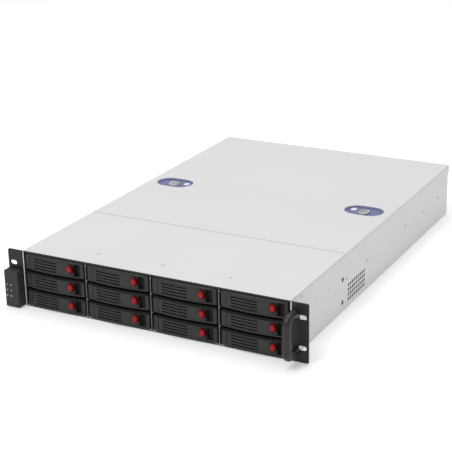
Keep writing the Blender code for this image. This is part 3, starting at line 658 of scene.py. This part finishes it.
def case():
    for part in ("chassis_tray", "front_cover", "rear_cover"):
        dress(part, PAINT, 0.3)
    dress("drive_cage", CAGE)
    dress("fan_wall", ZINC, 0.2)
    for part in ("left_ear", "right_ear"):
        dress(part, POWDER, 0.5)
    hems = Shape()
    for side in (-1, 1):
        hems.block(mirrored(side, HALF_BODY - 1.0, HALF_BODY - 0.3), (0.4, 638.0),
                   (COVER_TOP - 2.3, COVER_TOP - 1.05), 0.1, 1)
    piece("wall_hems", hems, PAINT)
    seam = limits("front_cover")[1][1]
    # A dark strip under the gap between the covers: painted shade in the seam.
    seam_shade = Shape().block((-HALF_BODY + 0.4, HALF_BODY - 0.4), (seam - 0.05, seam + 0.8),
                           (COVER_TOP - 1.0, COVER_TOP - 0.1), 0.05, 1)
    piece("seam_shade_strip", seam_shade, CHIP)

    for name, places, look in (("side_rivets", BARE_RIVETS, STUD),
                               ("painted_rivets", PAINTED_RIVETS, PAINT)):
        rivets = Shape()
        rivet = Shape().turned("X", (HALF_BODY, 0, 0), [
            (0, -0.6), (2.0, -0.6), (2.0, 0.15), (1.5, 0.3), (0.9, 0.1), (0, 0.05)], 16)
        for y, z in places:
            for turn in (0, math.pi):
                rivets.add(rivet, Matrix.Translation((0, y, z)) @ Matrix.Rotation(turn, 4, "Z"))
        piece(name, rivets, look)
    for name, places, look in (("cover_screws", BARE_SCREWS, GREY),
                               ("painted_screws", PAINTED_SCREWS, PAINT)):
        screws = Shape()
        for x, y in places:
            screws.turned("Z", (x, y, COVER_TOP), [
                (0, -1.2), (2.2, -1.2), (2.3, 0.02), (1.9, 0.14), (1.1, 0.12), (0.9, -0.3), (0, -0.3)], 20)
        piece(name, screws, look)

    # Black sheets behind the side vents: painted shade seen through the vents.
    shade_sheets = Shape()
    for side in (-1, 1):
        shade_sheets.block(mirrored(side, *SHADE_SHEET_X), SHADE_SHEET_Y, SHADE_SHEET_Z, 0.3)
        for z in ((SHADE_SHEET_Z[0], SHADE_SHEET_Z[0] + 1.0), (SHADE_SHEET_Z[1] - 1.0, SHADE_SHEET_Z[1])):
            shade_sheets.block(mirrored(side, SHADE_SHEET_X[0] + 0.5, SHADE_SHEET_X[1] + 6.5), SHADE_SHEET_Y, z, 0.3)
    piece("vent_shade_sheets", shade_sheets, SHADOW_BLACK)


LATCH_DISH = (58.0, 36.5)
LATCH_OVAL = (150.7, 374.4)


def latches():
    for side, name in ((-1, "left"), (1, "right")):
        x, y, z = limits(f"latch_plate_{name}")
        bx, by, bz = limits(f"latch_button_{name}")
        middle = (centre_of(x), centre_of(y))
        button = (centre_of(bx), centre_of(by))
        half = ((bx[1] - bx[0]) / 2, (by[1] - by[0]) / 2)
        plate = Shape().prism([stadium(middle, (x[1] - x[0], y[1] - y[0]), 16)], "Z", z, 0.3)
        dish = Shape().prism([stadium(middle, LATCH_DISH, 16)], "Z", (z[1] - 1.2, z[1] + 5))
        bore = Shape().prism([oval(button, (half[0] + 0.4, half[1] + 0.4), 40)], "Z", (z[0] - 5, z[1] + 5))
        housing = plate.mesh("latch_housing", [dish, bore], edge=0.5, segments=3)
        piece(f"latch_housing_{name}", housing, BLUE, "rear_cover", replaces=[f"latch_plate_{name}"])
        top = bz[1] - bz[0]
        crown = [(1 - 0.22 * (1 - math.cos(t)), top - 0.9 + 0.9 * math.sin(t)) for t in quarter_turn(6)]
        knob = Shape().turned("Z", (0, 0, 0), [(0, 0), (0.97, 0), (1.0, 0.2), *crown, (0.4, top - 0.15),
                                              (0, top - 0.25)], 44)
        bmesh.ops.scale(knob.bm, vec=(half[0], half[1], 1), verts=knob.bm.verts)
        piece(f"latch_push_{name}", knob.mesh("latch_push"), GREY, f"latch_button_{name}",
              (*button, bz[0]), [f"latch_button_{name}"])
        # A white crescent on the knob's outer side, and a white oval in the dish on its inner side.
        outward = 0 if side > 0 else 180
        sweep = [math.radians(outward + a) for a in range(-62, 47, 6)]
        ridge_out = [(half[0] * math.cos(t), half[1] * math.sin(t)) for t in sweep]
        ridge_in = [(half[0] * 0.78 * math.cos(t), half[1] * 0.86 * math.sin(t)) for t in reversed(sweep)]
        ridge = Shape().prism([[(button[0] + u, button[1] + v) for u, v in ridge_out + ridge_in]], "Z",
                              (bz[1] - 0.8, bz[1] + 0.15), 0.25)
        piece(f"latch_ridge_{name}", ridge.mesh("latch_ridge"), WHITE, f"latch_button_{name}")
        pad = Shape().prism([oval((side * LATCH_OVAL[0], LATCH_OVAL[1]), (4.8, 6.2), 32)], "Z",
                            (z[1] - 1.4, z[1] - 0.5), 0.35)
        piece(f"latch_mark_{name}", pad.mesh("latch_mark"), WHITE, "rear_cover")


# ---------------- inside the case

class Kit:
    """Solids sorted by finish, to make one piece of each."""

    def __init__(self, name):
        self.name, self.shapes = name, {}

    def __getitem__(self, look):
        return self.shapes.setdefault(look.name, (look, Shape()))[1]

    def build(self, replaces):
        for number, (look, shape) in enumerate(self.shapes.values()):
            name = f"{self.name}_{look.name}"
            piece(name, shape, look, replaces=() if number else [replaces])


CARD_PITCH = 20.32
BACKPLANE_SCREWS = [(x, z) for x in (-206, -107.5, 0, 107.5, 206) for z in (5.4, 82.0)]


def backplane():
    x, y, z = limits("backplane")
    board_y = (y[1] - 1.6, y[1])
    kit = Kit("backplane")
    slots = []
    for row, column in BAYS:
        bay_x, _, bay_z = limits(f"carrier_r{row}c{column}")
        cx, cz = centre_of(bay_x), bay_z[0] - TRAY_BOTTOM
        slots.append(rounded_rectangle((cx - 30, cx + 30), (cz - 1, cz + 10), 3.0))
        plug = Shape().block((cx - 21.5, cx + 21.5), (y[0], board_y[0] + 0.3), (cz - 10.3, cz - 5.2), 0.5)
        gaps = [Shape().block(gap, (y[0] - 1, y[0] + 6.5), (cz - 8.6, cz - 6.9))
                for gap in ((cx - 19.5, cx + 2.0), (cx + 4.5, cx + 19.0))]
        kit[BLACK].take_mesh(plug.mesh("plug", gaps))
        kit[GOLD].block((cx - 19.0, cx + 18.6), (board_y[0] - 4.0, board_y[0] - 3.6), (cz - 8.9, cz - 8.4))
        for step in range(4):
            kit[CHIP].block((cx - 45 + 5 * step, cx - 42.5 + 5 * step), (board_y[1] - 0.1, board_y[1] + 0.9),
                            (cz - 9.5, cz - 6.5), 0.1, 1)
        kit[LAMP].block((cx + 38, cx + 39.6), (board_y[0] - 0.8, board_y[0] + 0.1), (cz + 5, cz + 6.2),
                        0.15, 1)
    outline = rounded_rectangle((x[0], x[1]), (z[0], z[1]), 2.0)
    holes = [oval(place, (1.7, 1.7), 16) for place in BACKPLANE_SCREWS]
    kit[GREEN_BOARD].prism([outline, *slots, *holes], "Y", board_y)
    for hx, hz in BACKPLANE_SCREWS:
        kit[ZINC].rod("Y", (hx, 0, hz), 2.8, (board_y[0] - 1.4, board_y[0] + 0.1), 16, 0.4)
    for cx in (-161.25, -53.75, 53.75, 161.25):
        kit[WHITE].block((cx - 10, cx + 10), (board_y[1] - 0.1, board_y[1] + 8), (76.5, 83.0), 0.5)
        for pin in range(4):
            kit[GOLD].rod("Y", (cx - 7.5 + 5 * pin, 0, 79.8), 1.0, (board_y[1] + 7.9, board_y[1] + 8.6), 10)
        for step in range(3):
            kit[ALUMINIUM].rod("Y", (cx + 34 + 7 * step, 0, 80.0), 2.6, (board_y[1] - 0.1, board_y[1] + 7),
                               16, 0.4)
    kit.build("backplane")


def fan_blade(hub, tip, depth):
    """A swept and twisted blade, thick in its middle, that stands out from the hub round the Y axis."""
    part = bmesh.new()
    rings = []
    for i in range(7):
        reach = i / 6
        radius = hub + (tip - hub) * reach
        pitch = math.radians(52 - 20 * reach)
        chord = 0.9 * depth / math.sin(pitch)
        ring = []
        for side in (1, -1):
            for j in range(5):
                t = side * (j / 4 - 0.5)
                thickness = side * (0.8 - 2.6 * t * t)
                along = t * chord * math.cos(pitch) - thickness * math.sin(pitch)
                height = t * chord * math.sin(pitch) + thickness * math.cos(pitch)
                turn = along / radius + 0.3 * reach
                ring.append(part.verts.new((radius * math.cos(turn), height, radius * math.sin(turn))))
        rings.append(ring)
    for inner, outer in zip(rings, rings[1:]):
        for k in range(len(inner)):
            part.faces.new((inner[k], inner[k - 1], outer[k - 1], outer[k]))
    part.faces.new(rings[0])
    part.faces.new(rings[-1])
    bmesh.ops.recalc_face_normals(part, faces=part.faces)
    return part


def add_blades(rotor, y, hub, tip, depth):
    for step in range(7):
        blade = Shape().take(fan_blade(hub, tip, depth))
        rotor.add(blade, Matrix.Translation((0, y, 0)) @ Matrix.Rotation(2 * math.pi * step / 7, 4, "Y"))


FAN_HOLE = 35.75
FAN_BORE = 38.2
FLANGE = 4.0


def fans():
    for number in (1, 2, 3):
        x, y, z = limits(f"fan_frame_{number}")
        cx, cz = centre_of(x), centre_of(z)
        corners = [(cx + a * FAN_HOLE, cz + b * FAN_HOLE) for a in (-1, 1) for b in (-1, 1)]
        square = rounded_rectangle(x, z, 4.5)
        holes = [oval(corner, (2.2, 2.2), 16) for corner in corners]
        bore = oval((cx, cz), (FAN_BORE, FAN_BORE), 64)
        between = (y[0] + FLANGE - 0.1, y[1] - FLANGE + 0.1)
        housing = Shape()
        for flange in ((y[0], y[0] + FLANGE), (y[1] - FLANGE, y[1])):
            housing.prism([square, bore, *holes], "Y", flange, 0.4, 1)
        housing.prism([oval((cx, cz), (FAN_BORE + 1.5, FAN_BORE + 1.5), 64), bore], "Y", between)
        for corner, hole in zip(corners, holes):
            housing.prism([oval(corner, (3.6, 3.6), 16), hole], "Y", between)
        housing.rod("Y", (cx, 0, cz), 17.0, (y[1] - 3.9, y[1] - 0.6), 48, 0.6)
        for quarter in range(4):
            arm = Shape().block((16.0, 39.0), (y[1] - 3.4, y[1] - 0.9), (-2.2, 2.2), 0.6)
            turn = Matrix.Translation((cx, 0, cz)) @ Matrix.Rotation(math.radians(45 + 90 * quarter), 4, "Y")
            housing.add(arm, turn)
        piece(f"fan_housing_{number}", housing.mesh("fan_housing"), BLACK, replaces=[f"fan_frame_{number}"])

        _, rotor_y, _ = limits(f"fan_rotor_{number}")
        depth = rotor_y[1] - rotor_y[0]
        rotor = Shape().turned("Y", (0, 0, 0), [
            (0, -depth + 0.3), (15.6, -depth + 0.3), (16.8, -depth + 1.2), (16.8, -1.8), (16.2, -0.6),
            (15.0, -0.1), (4.0, -0.1), (3.4, -0.5), (0, -0.5)], 48)
        add_blades(rotor, depth / 2, 16.3, 36.2, 12.5)
        piece(f"fan_impeller_{number}", rotor.mesh("fan_impeller", smooth_below=40), SHADOW_BLACK,
              f"fan_rotor_{number}", (cx, rotor_y[0], cz), [f"fan_rotor_{number}"])
        screws = Shape()
        for sx, sz in corners:
            screws.rod("Y", (sx, 0, sz), 3.6, (y[0] - 3.0, y[0] - 1.4), 20, 0.6)
        piece(f"fan_screws_{number}", screws.mesh("fan_screws"), ZINC)


def main_board():
    x, y, z = limits("motherboard")
    deck = z[0] + 8.1
    kit = Kit("board")

    def soldered(look, across, along, height, edge, segments=2):
        """Sets a block on the board."""
        kit[look].block(across, along, (deck - 0.1, deck + height), edge, segments)

    posts = [(px, py) for px in (-193.0, -50.0, 98.0) for py in (408.0, 525.0, 615.0)]
    for px, py in posts:
        kit[ZINC].rod("Z", (px, py, 0), 3.0, (z[0], deck - 1.6), 6)
        kit[ZINC].rod("Z", (px, py, 0), 3.1, (deck - 0.1, deck + 1.5), 20, 0.6)
    holes = [oval(post, (2.0, 2.0), 16) for post in posts]
    board = rounded_rectangle(x, (y[0], 642.0), 1.5)
    kit[GREEN_BOARD].prism([board, *holes], "Z", (deck - 1.6, deck))
    cooler(kit, (-10.0, 80.0), (500.0, 590.0), (deck, z[1]))
    for slot in range(4):
        memory(kit, (-20.0, 86.0), 427.0 + 12 * slot, deck)
    for slot in range(7):
        card_slot(kit, -67.25 - CARD_PITCH * slot, (520.0, 610.0), deck, SOCKET_BLUE if slot % 2 else BLACK)
    soldered(ALUMINIUM, (-128, -88), (452, 492), 3, 0.4)
    for fin in range(9):
        kit[ALUMINIUM].block((-127 + 4.7 * fin, -125.4 + 4.7 * fin), (453, 491), (deck + 2.9, deck + 9.5),
                             0.2, 1)
    for step in range(6):
        soldered(CHIP, (-196, -184), (432 + 12 * step, 441 + 12 * step), 1.1, 0.2, 1)
        soldered(BLACK, (-178 + 17 * step, -164 + 17 * step), (403, 411), 11.5, 0.5)
        # Dark patches on the connectors' tops for their openings: painted shade.
        kit[SHADOW_BLACK].block((-176 + 17 * step, -166 + 17 * step), (404.4, 407.4),
                                (deck + 11.3, deck + 11.7))
    for px, py, wide, deep in ((-60, 430, 14, 14), (-152, 470, 9, 9), (-75, 462, 8, 5), (-172, 500, 10, 10),
                               (-33, 610, 10, 10)):
        soldered(CHIP, (px - wide, px + wide), (py - deep, py + deep), 1.4, 0.25)
    for step in range(7):
        kit[ALUMINIUM].rod("Z", (-18 + 16 * step, 493.0, 0), 3.6, (deck - 0.1, deck + 10), 20, 0.6)
        soldered(CHIP, (86.5, 94.5), (504 + 12 * step, 512 + 12 * step), 6, 0.4)
    for step in range(24):
        soldered(GREY, (-150 + 4 * step, -148.4 + 4 * step), (423, 424), 0.6, 0.1, 1)
        soldered(GREY, (-22, -20.8), (505 + 3.4 * step, 507 + 3.4 * step), 0.6, 0.1, 1)
    soldered(WHITE, (92, 103.5), (432, 484), 12, 0.6)
    # Two rows of dark patches on the white connector for its openings: painted shade.
    for step in range(12):
        for column in (95.0, 100.4):
            kit[SHADOW_BLACK].block((column - 1.5, column + 1.5), (434.4 + 4.1 * step, 437.4 + 4.1 * step),
                                    (deck + 11.8, deck + 12.2))
    kit[BLACK].rod("Z", (-98.0, 424.0, 0), 11.0, (deck - 0.1, deck + 3), 32, 0.5)
    kit[ZINC].rod("Z", (-98.0, 424.0, 0), 10.0, (deck + 2.9, deck + 4.4), 32, 0.4)
    rear_ports(kit, deck)
    kit.build("motherboard")


def cooler(kit, x, y, z):
    """A passive tower of thin fins on a copper base, with heat pipes and four spring screws."""
    kit[COPPER].block((x[0] + 20, x[1] - 20), (y[0] + 20, y[1] - 20), (z[0] + 3, z[0] + 8), 0.5)
    kit[ALUMINIUM].block((x[0] + 1, x[1] - 1), (y[0] + 1, y[1] - 1), (z[0] + 7.9, z[0] + 11), 0.4)
    for fin in range(31):
        left = x[0] + 2 + 2.86 * fin
        kit[ALUMINIUM].block((left, left + 0.5), (y[0], y[1]), (z[0] + 10.9, z[1] - 0.6))
    for pipe in (22.0, 38.0, 52.0, 68.0):
        kit[COPPER].rod("X", (0, y[0] + pipe, z[0] + 42), 3.0, (x[0] + 0.5, x[1] - 0.5), 16, 0.8)
    for px in (x[0] + 6, x[1] - 6):
        for py in (y[0] + 6, y[1] - 6):
            kit[ZINC].rod("Z", (px, py, 0), 2.4, (z[0] - 0.1, z[0] + 10.9), 16)
    kit[BLACK].block((x[0] + 8, x[1] - 8), (y[0] + 8, y[1] - 8), (z[0] - 0.1, z[0] + 3.1), 0.5)


def memory(kit, x, y, deck):
    """A module in its socket, with chips on both of its faces and a latch at each end."""
    kit[BLACK].block(x, (y - 3, y + 3), (deck - 0.1, deck + 6), 0.4)
    for end in (x[0] + 1.8, x[1] - 1.8):
        kit[WHITE].block((end - 1.7, end + 1.7), (y - 2.2, y + 2.2), (deck + 5.9, deck + 14), 0.5)
    kit[GREEN_BOARD].block((x[0] + 4, x[1] - 4), (y - 0.6, y + 0.6), (deck + 2, deck + 30), 0.1, 1)
    for chip in range(8):
        left = x[0] + 7 + 11.6 * chip
        kit[CHIP].block((left, left + 9), (y - 1.7, y + 1.7), (deck + 11, deck + 25), 0.2, 1)


def card_slot(kit, x, y, deck, look):
    socket = Shape().block((x - 3.75, x + 3.75), y, (deck - 0.1, deck + 11.3), 0.5)
    groove = [Shape().block((x - 0.9, x + 0.9), part, (deck + 4, deck + 20))
              for part in ((y[0] + 3, y[0] + 14), (y[0] + 16, y[1] - 6))]
    kit[look].take_mesh(socket.mesh("socket", groove, smooth_below=30))
    for side in (-1.2, 1.2):
        kit[GOLD].block((x + side - 0.3, x + side + 0.3), (y[0] + 4, y[1] - 7), (deck + 11.2, deck + 11.45))


def shell(kit, x, z, y, core, tongue=None):
    """A port's sheet shell with a dark inside, and the tongue that carries its contacts."""
    wall = 0.5
    inside = ((x[0] + wall, x[1] - wall), (z[0] + wall, z[1] - wall))
    kit[ZINC].prism([rounded_rectangle(x, z, 0.9), rounded_rectangle(*inside, 0.5)], "Y", y)
    kit[core].block(inside[0], (y[0], y[1] - 7.5), inside[1])
    if tongue is not None:
        middle = centre_of(z)
        kit[tongue].block((x[0] + 1.6, x[1] - 1.6), (y[1] - 7.6, y[1] - 1.2), (middle + 0.2, middle + 1.9),
                          0.2, 1)


def rear_ports(kit, deck):
    y = (624.0, limits("motherboard")[1][1] + 0.2)
    kit[ZINC].block((-47, -14), (y[0], y[1] - 2), (deck - 0.1, 24), 0.6)
    socket = [(-38.5, 22.4), (-40, 14.2), (-21, 14.2), (-22.5, 22.4)]
    kit[SOCKET_BLUE].prism([socket], "Y", (y[1] - 2.1, y[1] + 2.6), 0.8)
    # Dark dots on the blue socket for its pin holes: painted shade.
    for row in range(3):
        for pin in range(5):
            kit[SHADOW_BLACK].rod("Y", (-36.2 + 2.6 * pin + 1.3 * (row % 2), 0, 15.9 + 2.4 * row), 0.5,
                                  (y[1] + 2.5, y[1] + 2.7), 8)
    for px in (-44.0, -17.0):
        kit[ZINC].rod("Y", (px, 0, 18.3), 2.4, (y[1] - 2.1, y[1] + 2.8), 6)
    for bottom in (deck + 1, deck + 9.4):
        shell(kit, (-7.0, 7.5), (bottom, bottom + 7.2), y, SHADOW_BLACK, SOCKET_BLUE)
    for left in (13.0, 33.0):
        for bottom in (deck + 1, deck + 9.0):
            shell(kit, (left, left + 14.5), (bottom, bottom + 7.0), y, SHADOW_BLACK, SHADOW_BLACK)
        shell(kit, (left - 1.0, left + 15.5), (deck + 17, deck + 31.0), y, SHADOW_BLACK)
        for side in (left + 0.8, left + 11.2):
            kit[LAMP].block((side, side + 2.4), (y[1] - 7.6, y[1] - 0.2), (deck + 28.2, deck + 30.0), 0.2, 1)
        for contact in range(8):
            kit[GOLD].block((left + 3.3 + 1.02 * contact, left + 3.8 + 1.02 * contact),
                            (y[1] - 7.6, y[1] - 2), (deck + 18.4, deck + 18.8))
    for bottom in (deck + 1.0, deck + 10.0):
        shell(kit, (55.0, 72.0), (bottom, bottom + 6.0), y, SHADOW_BLACK, SHADOW_BLACK)
    kit[BLACK].block((79.0, 93.0), (y[0], y[1] - 1), (deck - 0.1, deck + 33.0), 0.5)
    for step, look in enumerate((RED, GREEN_RING, SOCKET_BLUE)):
        kit[look].turned("Y", (86.0, 0, deck + 6.0 + 10.8 * step), [
            (1.9, -y[1] + 1.1), (3.9, -y[1] + 1.1), (3.9, -y[1]), (3.4, -y[1] - 0.5), (1.9, -y[1] - 0.5)], 28)


def supply():
    x, y, z = limits("power_supply")
    rear = y[1]
    inlet = ((175.0, 202.0), (18.0, 38.0))
    fan_at = ((x[0] + 166.0) / 2 + 2, 37.0)
    fan_middle = Matrix.Translation((fan_at[0], 0, fan_at[1]))
    body = Shape().block(x, y, z, 0.9, 3)
    cuts = [Shape().block(inlet[0], (rear - 16, rear + 5), inlet[1]),
            Shape().rod("Y", (fan_at[0], 0, fan_at[1]), 26.0, (rear - 7, rear + 5), 64),
            Shape().block((176.0, 200.0), (rear - 5, rear + 5), (46.0, 62.0))]
    for step in range(11):
        cuts.append(Shape().block((122 + 6.5 * step, 125 + 6.5 * step), (y[0] - 5, y[0] + 3), (24, 60)))
    kit = Kit("supply")
    kit[SUPPLY].take_mesh(body.mesh("supply_case", cuts, edge=0.3))
    for radius in (7.0, 12.5, 18.0, 23.5):
        kit[ZINC].ring("Y", (fan_at[0], rear - 1.0, fan_at[1]), radius, 1.4, 48)
    for turn in (45, 135):
        spoke = Shape().block((-26.2, 26.2), (rear - 2.4, rear - 1.6), (-0.9, 0.9), 0.2, 1)
        kit[ZINC].add(spoke, fan_middle @ Matrix.Rotation(math.radians(turn), 4, "Y"))
    hub = Shape().rod("Y", (0, 0, 0), 11.0, (rear - 6.8, rear - 3.6), 40, 0.6)
    add_blades(hub, rear - 5.0, 10.6, 24.6, 3.4)
    kit[SHADOW_BLACK].add(hub, fan_middle)
    (left, right), (low, high) = inlet
    shroud = [(left + 0.3, low + 0.3), (right - 0.3, low + 0.3), (right - 0.3, high - 5.0),
              (right - 5.0, high - 0.3), (left + 5.0, high - 0.3), (left + 0.3, high - 5.0)]
    opening = [(u + (1.1 if u < 188.5 else -1.1), v + (1.1 if v < 30 else -1.1)) for u, v in shroud]
    kit[BLACK].prism([shroud, opening], "Y", (rear - 15.9, rear + 0.8), 0.2, 1)
    kit[BLACK].block((175.3, 201.7), (rear - 15.95, rear - 15.0), (18.3, 37.7))
    for px, pz in ((181.5, 25.0), (195.5, 25.0), (188.5, 31.0)):
        kit[ZINC].block((px - 1.0, px + 1.0), (rear - 15.2, rear - 2.5), (pz - 2.0, pz + 2.0), 0.4)
    frame_outline = rounded_rectangle((176.2, 199.8), (46.2, 61.8), 1.2)
    kit[BLACK].prism([frame_outline, rounded_rectangle((178.2, 197.8), (48.0, 60.0), 0.6)], "Y",
                     (rear - 4.8, rear + 1.0), 0.3)
    rocker = Matrix.Rotation(math.radians(7), 4, "Z")
    kit[CHIP].block((178.4, 197.6), (rear - 4.9, rear + 0.3), (48.2, 59.8), 0.6, 2, rocker)
    for px in (x[0] + 5, x[1] - 4):
        for pz in (z[0] + 7, z[1] - 6):
            kit[ZINC].rod("Y", (px, 0, pz), 3.0, (rear - 0.5, rear + 1.0), 20, 0.5)
    for px in (x[0] + 8, x[1] - 8):
        for py in (y[0] + 8, rear - 10):
            kit[ZINC].rod("Z", (px, py, 0), 2.6, (z[1] - 0.5, z[1] + 0.7), 20, 0.4)
    kit[SUPPLY].block((x[0] + 14, x[1] - 14), (y[0] + 30, rear - 30), (z[1] - 0.3, z[1] + 0.25), 0.2, 1)
    kit[BLACK].block((124.0, 196.0), (y[0] - 5, y[0] + 0.5), (6.0, 19.0), 0.8)
    # Dark patches on the black block for its openings: painted shade.
    for step in range(6):
        kit[SHADOW_BLACK].block((127.0 + 11.6 * step, 135.6 + 11.6 * step), (y[0] - 5.2, y[0] - 4.9),
                                (8.0, 17.0), 0.05)
    kit.build("power_supply")


def rear_wall():
    """What closes the rear wall's openings, and the screws there, under the case and on the cover's lip."""
    inner = limits("chassis_tray")[1][1] - 1.2
    covers = Shape()
    slots = [-67.0 - CARD_PITCH * i for i in range(7)]
    for x in slots:
        holes = [stadium((x + 3.9 * side, 16.5 + 4.2 * row), (3.0, 2.2), 5) for side in (-1, 0, 1)
                 for row in range(14)]
        covers.prism([rounded_rectangle((x - 8.6, x + 8.6), (10.6, 78.0), 1.0), *holes], "Y",
                     (inner - 1.1, inner - 0.3))
    piece("slot_covers", covers.mesh("slot_covers", smooth_below=30), ZINC)
    shield = Shape()
    ports = [rounded_rectangle(u, v, 0.8) for u, v in (
        ((-49, -12), (11, 26)), ((-8, 8.5), (10, 27)), ((11, 29.5), (10, 41.5)), ((31, 49.5), (10, 41.5)),
        ((54, 73), (10, 27)), ((81.5, 90.5), (10.5, 42)))]
    vents = [stadium((-45 + 8 * i, 46.8), (5.5, 2.4), 5) for i in range(18)]
    shield.prism([rounded_rectangle((-54.6, 103.6), (7.8, 51.6), 1.2), *ports, *vents], "Y",
                 (inner + 0.2, inner + 0.8))
    piece("port_shield", shield.mesh("port_shield", smooth_below=30), ZINC)
    screws = Shape()
    for x in slots:
        screws.rod("Y", (x, 0, 75.8), 2.3, (inner + 1.15, inner + 2.2), 16, 0.4)
    for x in (-200, 0, 200):
        for y in (60, 180, 300, 420, 540, 630):
            screws.turned("Z", (x, y, 0), [
                (0, 0.1), (0.9, 0.1), (1.0, -0.2), (2.2, -0.2), (2.6, -0.1), (2.6, 0.6), (0, 0.6)], 16)
    piece("rear_and_floor_screws", screws, ZINC)
    lip = limits("rear_cover")[1][1]
    lip_screws = Shape()
    for x in (-160, 160):
        lip_screws.rod("Y", (x, 0, 79.5), 2.6, (lip - 0.6, lip + 0.8), 20, 0.5)
    piece("lip_screws", lip_screws, ZINC, "rear_cover")


# ---------------- light, floor and camera

CAMERA_PLACE = Vector((0.86666, FRONT_EDGE - 1.40236, 0.75842))
AZIMUTH = math.radians(28.0)
ELEVATION = math.radians(20.12)
ROLL = math.radians(-1.1)
LENS = 102.19


def camera():
    back = Vector((math.sin(AZIMUTH) * math.cos(ELEVATION), -math.cos(AZIMUTH) * math.cos(ELEVATION),
                   math.sin(ELEVATION)))
    right = Vector((0, 0, 1)).cross(back).normalized()
    up = back.cross(right)
    tilted_right = right * math.cos(ROLL) + up * math.sin(ROLL)
    tilted_up = up * math.cos(ROLL) - right * math.sin(ROLL)
    data = bpy.data.cameras.new("camera")
    data.lens = LENS
    data.sensor_width = 36
    data.clip_end = 50
    obj = show("camera", data)
    obj.matrix_world = Matrix.Translation(CAMERA_PLACE) @ Matrix(
        (tilted_right, tilted_up, back)).transposed().to_4x4()
    bpy.context.scene.camera = obj


def area_light(name, place, target, width, power):
    data = bpy.data.lights.new(name, "AREA")
    data.shape = "SQUARE"
    data.size = width
    data.energy = power
    obj = show(name, data)
    obj.location = place
    obj.rotation_euler = (Vector(target) - Vector(place)).to_track_quat("-Z", "Y").to_euler()


def studio():
    world = bpy.data.worlds.new("studio")
    world.use_nodes = True
    background = world.node_tree.nodes["Background"].inputs
    background["Color"].default_value = (1.0, 1.0, 1.0, 1.0)
    background["Strength"].default_value = 0.57
    bpy.context.scene.world = world
    bpy.context.scene.view_settings.view_transform = "Standard"
    area_light("key", (-0.6, -1.9, 2.9), (0, 0, 0), 1.6, 42)
    area_light("top", (-0.3, 0.9, 3.0), (0, 0.1, 0), 2.4, 36)

    part = bmesh.new()
    bmesh.ops.create_grid(part, x_segments=4, y_segments=4, size=12)
    mesh = bpy.data.meshes.new("floor")
    part.to_mesh(mesh)
    part.free()
    floor_look = finish("floor_paper", "", (0.82, 0.82, 0.82), 0.9, shade=0.01, mottle=2)
    shader = floor_look.node_tree.nodes["Principled BSDF"]
    shader.inputs["Emission Color"].default_value = (1.0, 1.0, 1.0, 1.0)
    shader.inputs["Emission Strength"].default_value = 0.28
    mesh.materials.append(floor_look)
    floor = show("floor", mesh)
    floor.location = (0, 0, -0.0005)


case()
latches()
drive_bays()
front_trim()
handle()
control_box()
backplane()
fans()
main_board()
supply()
rear_wall()
camera()
studio()
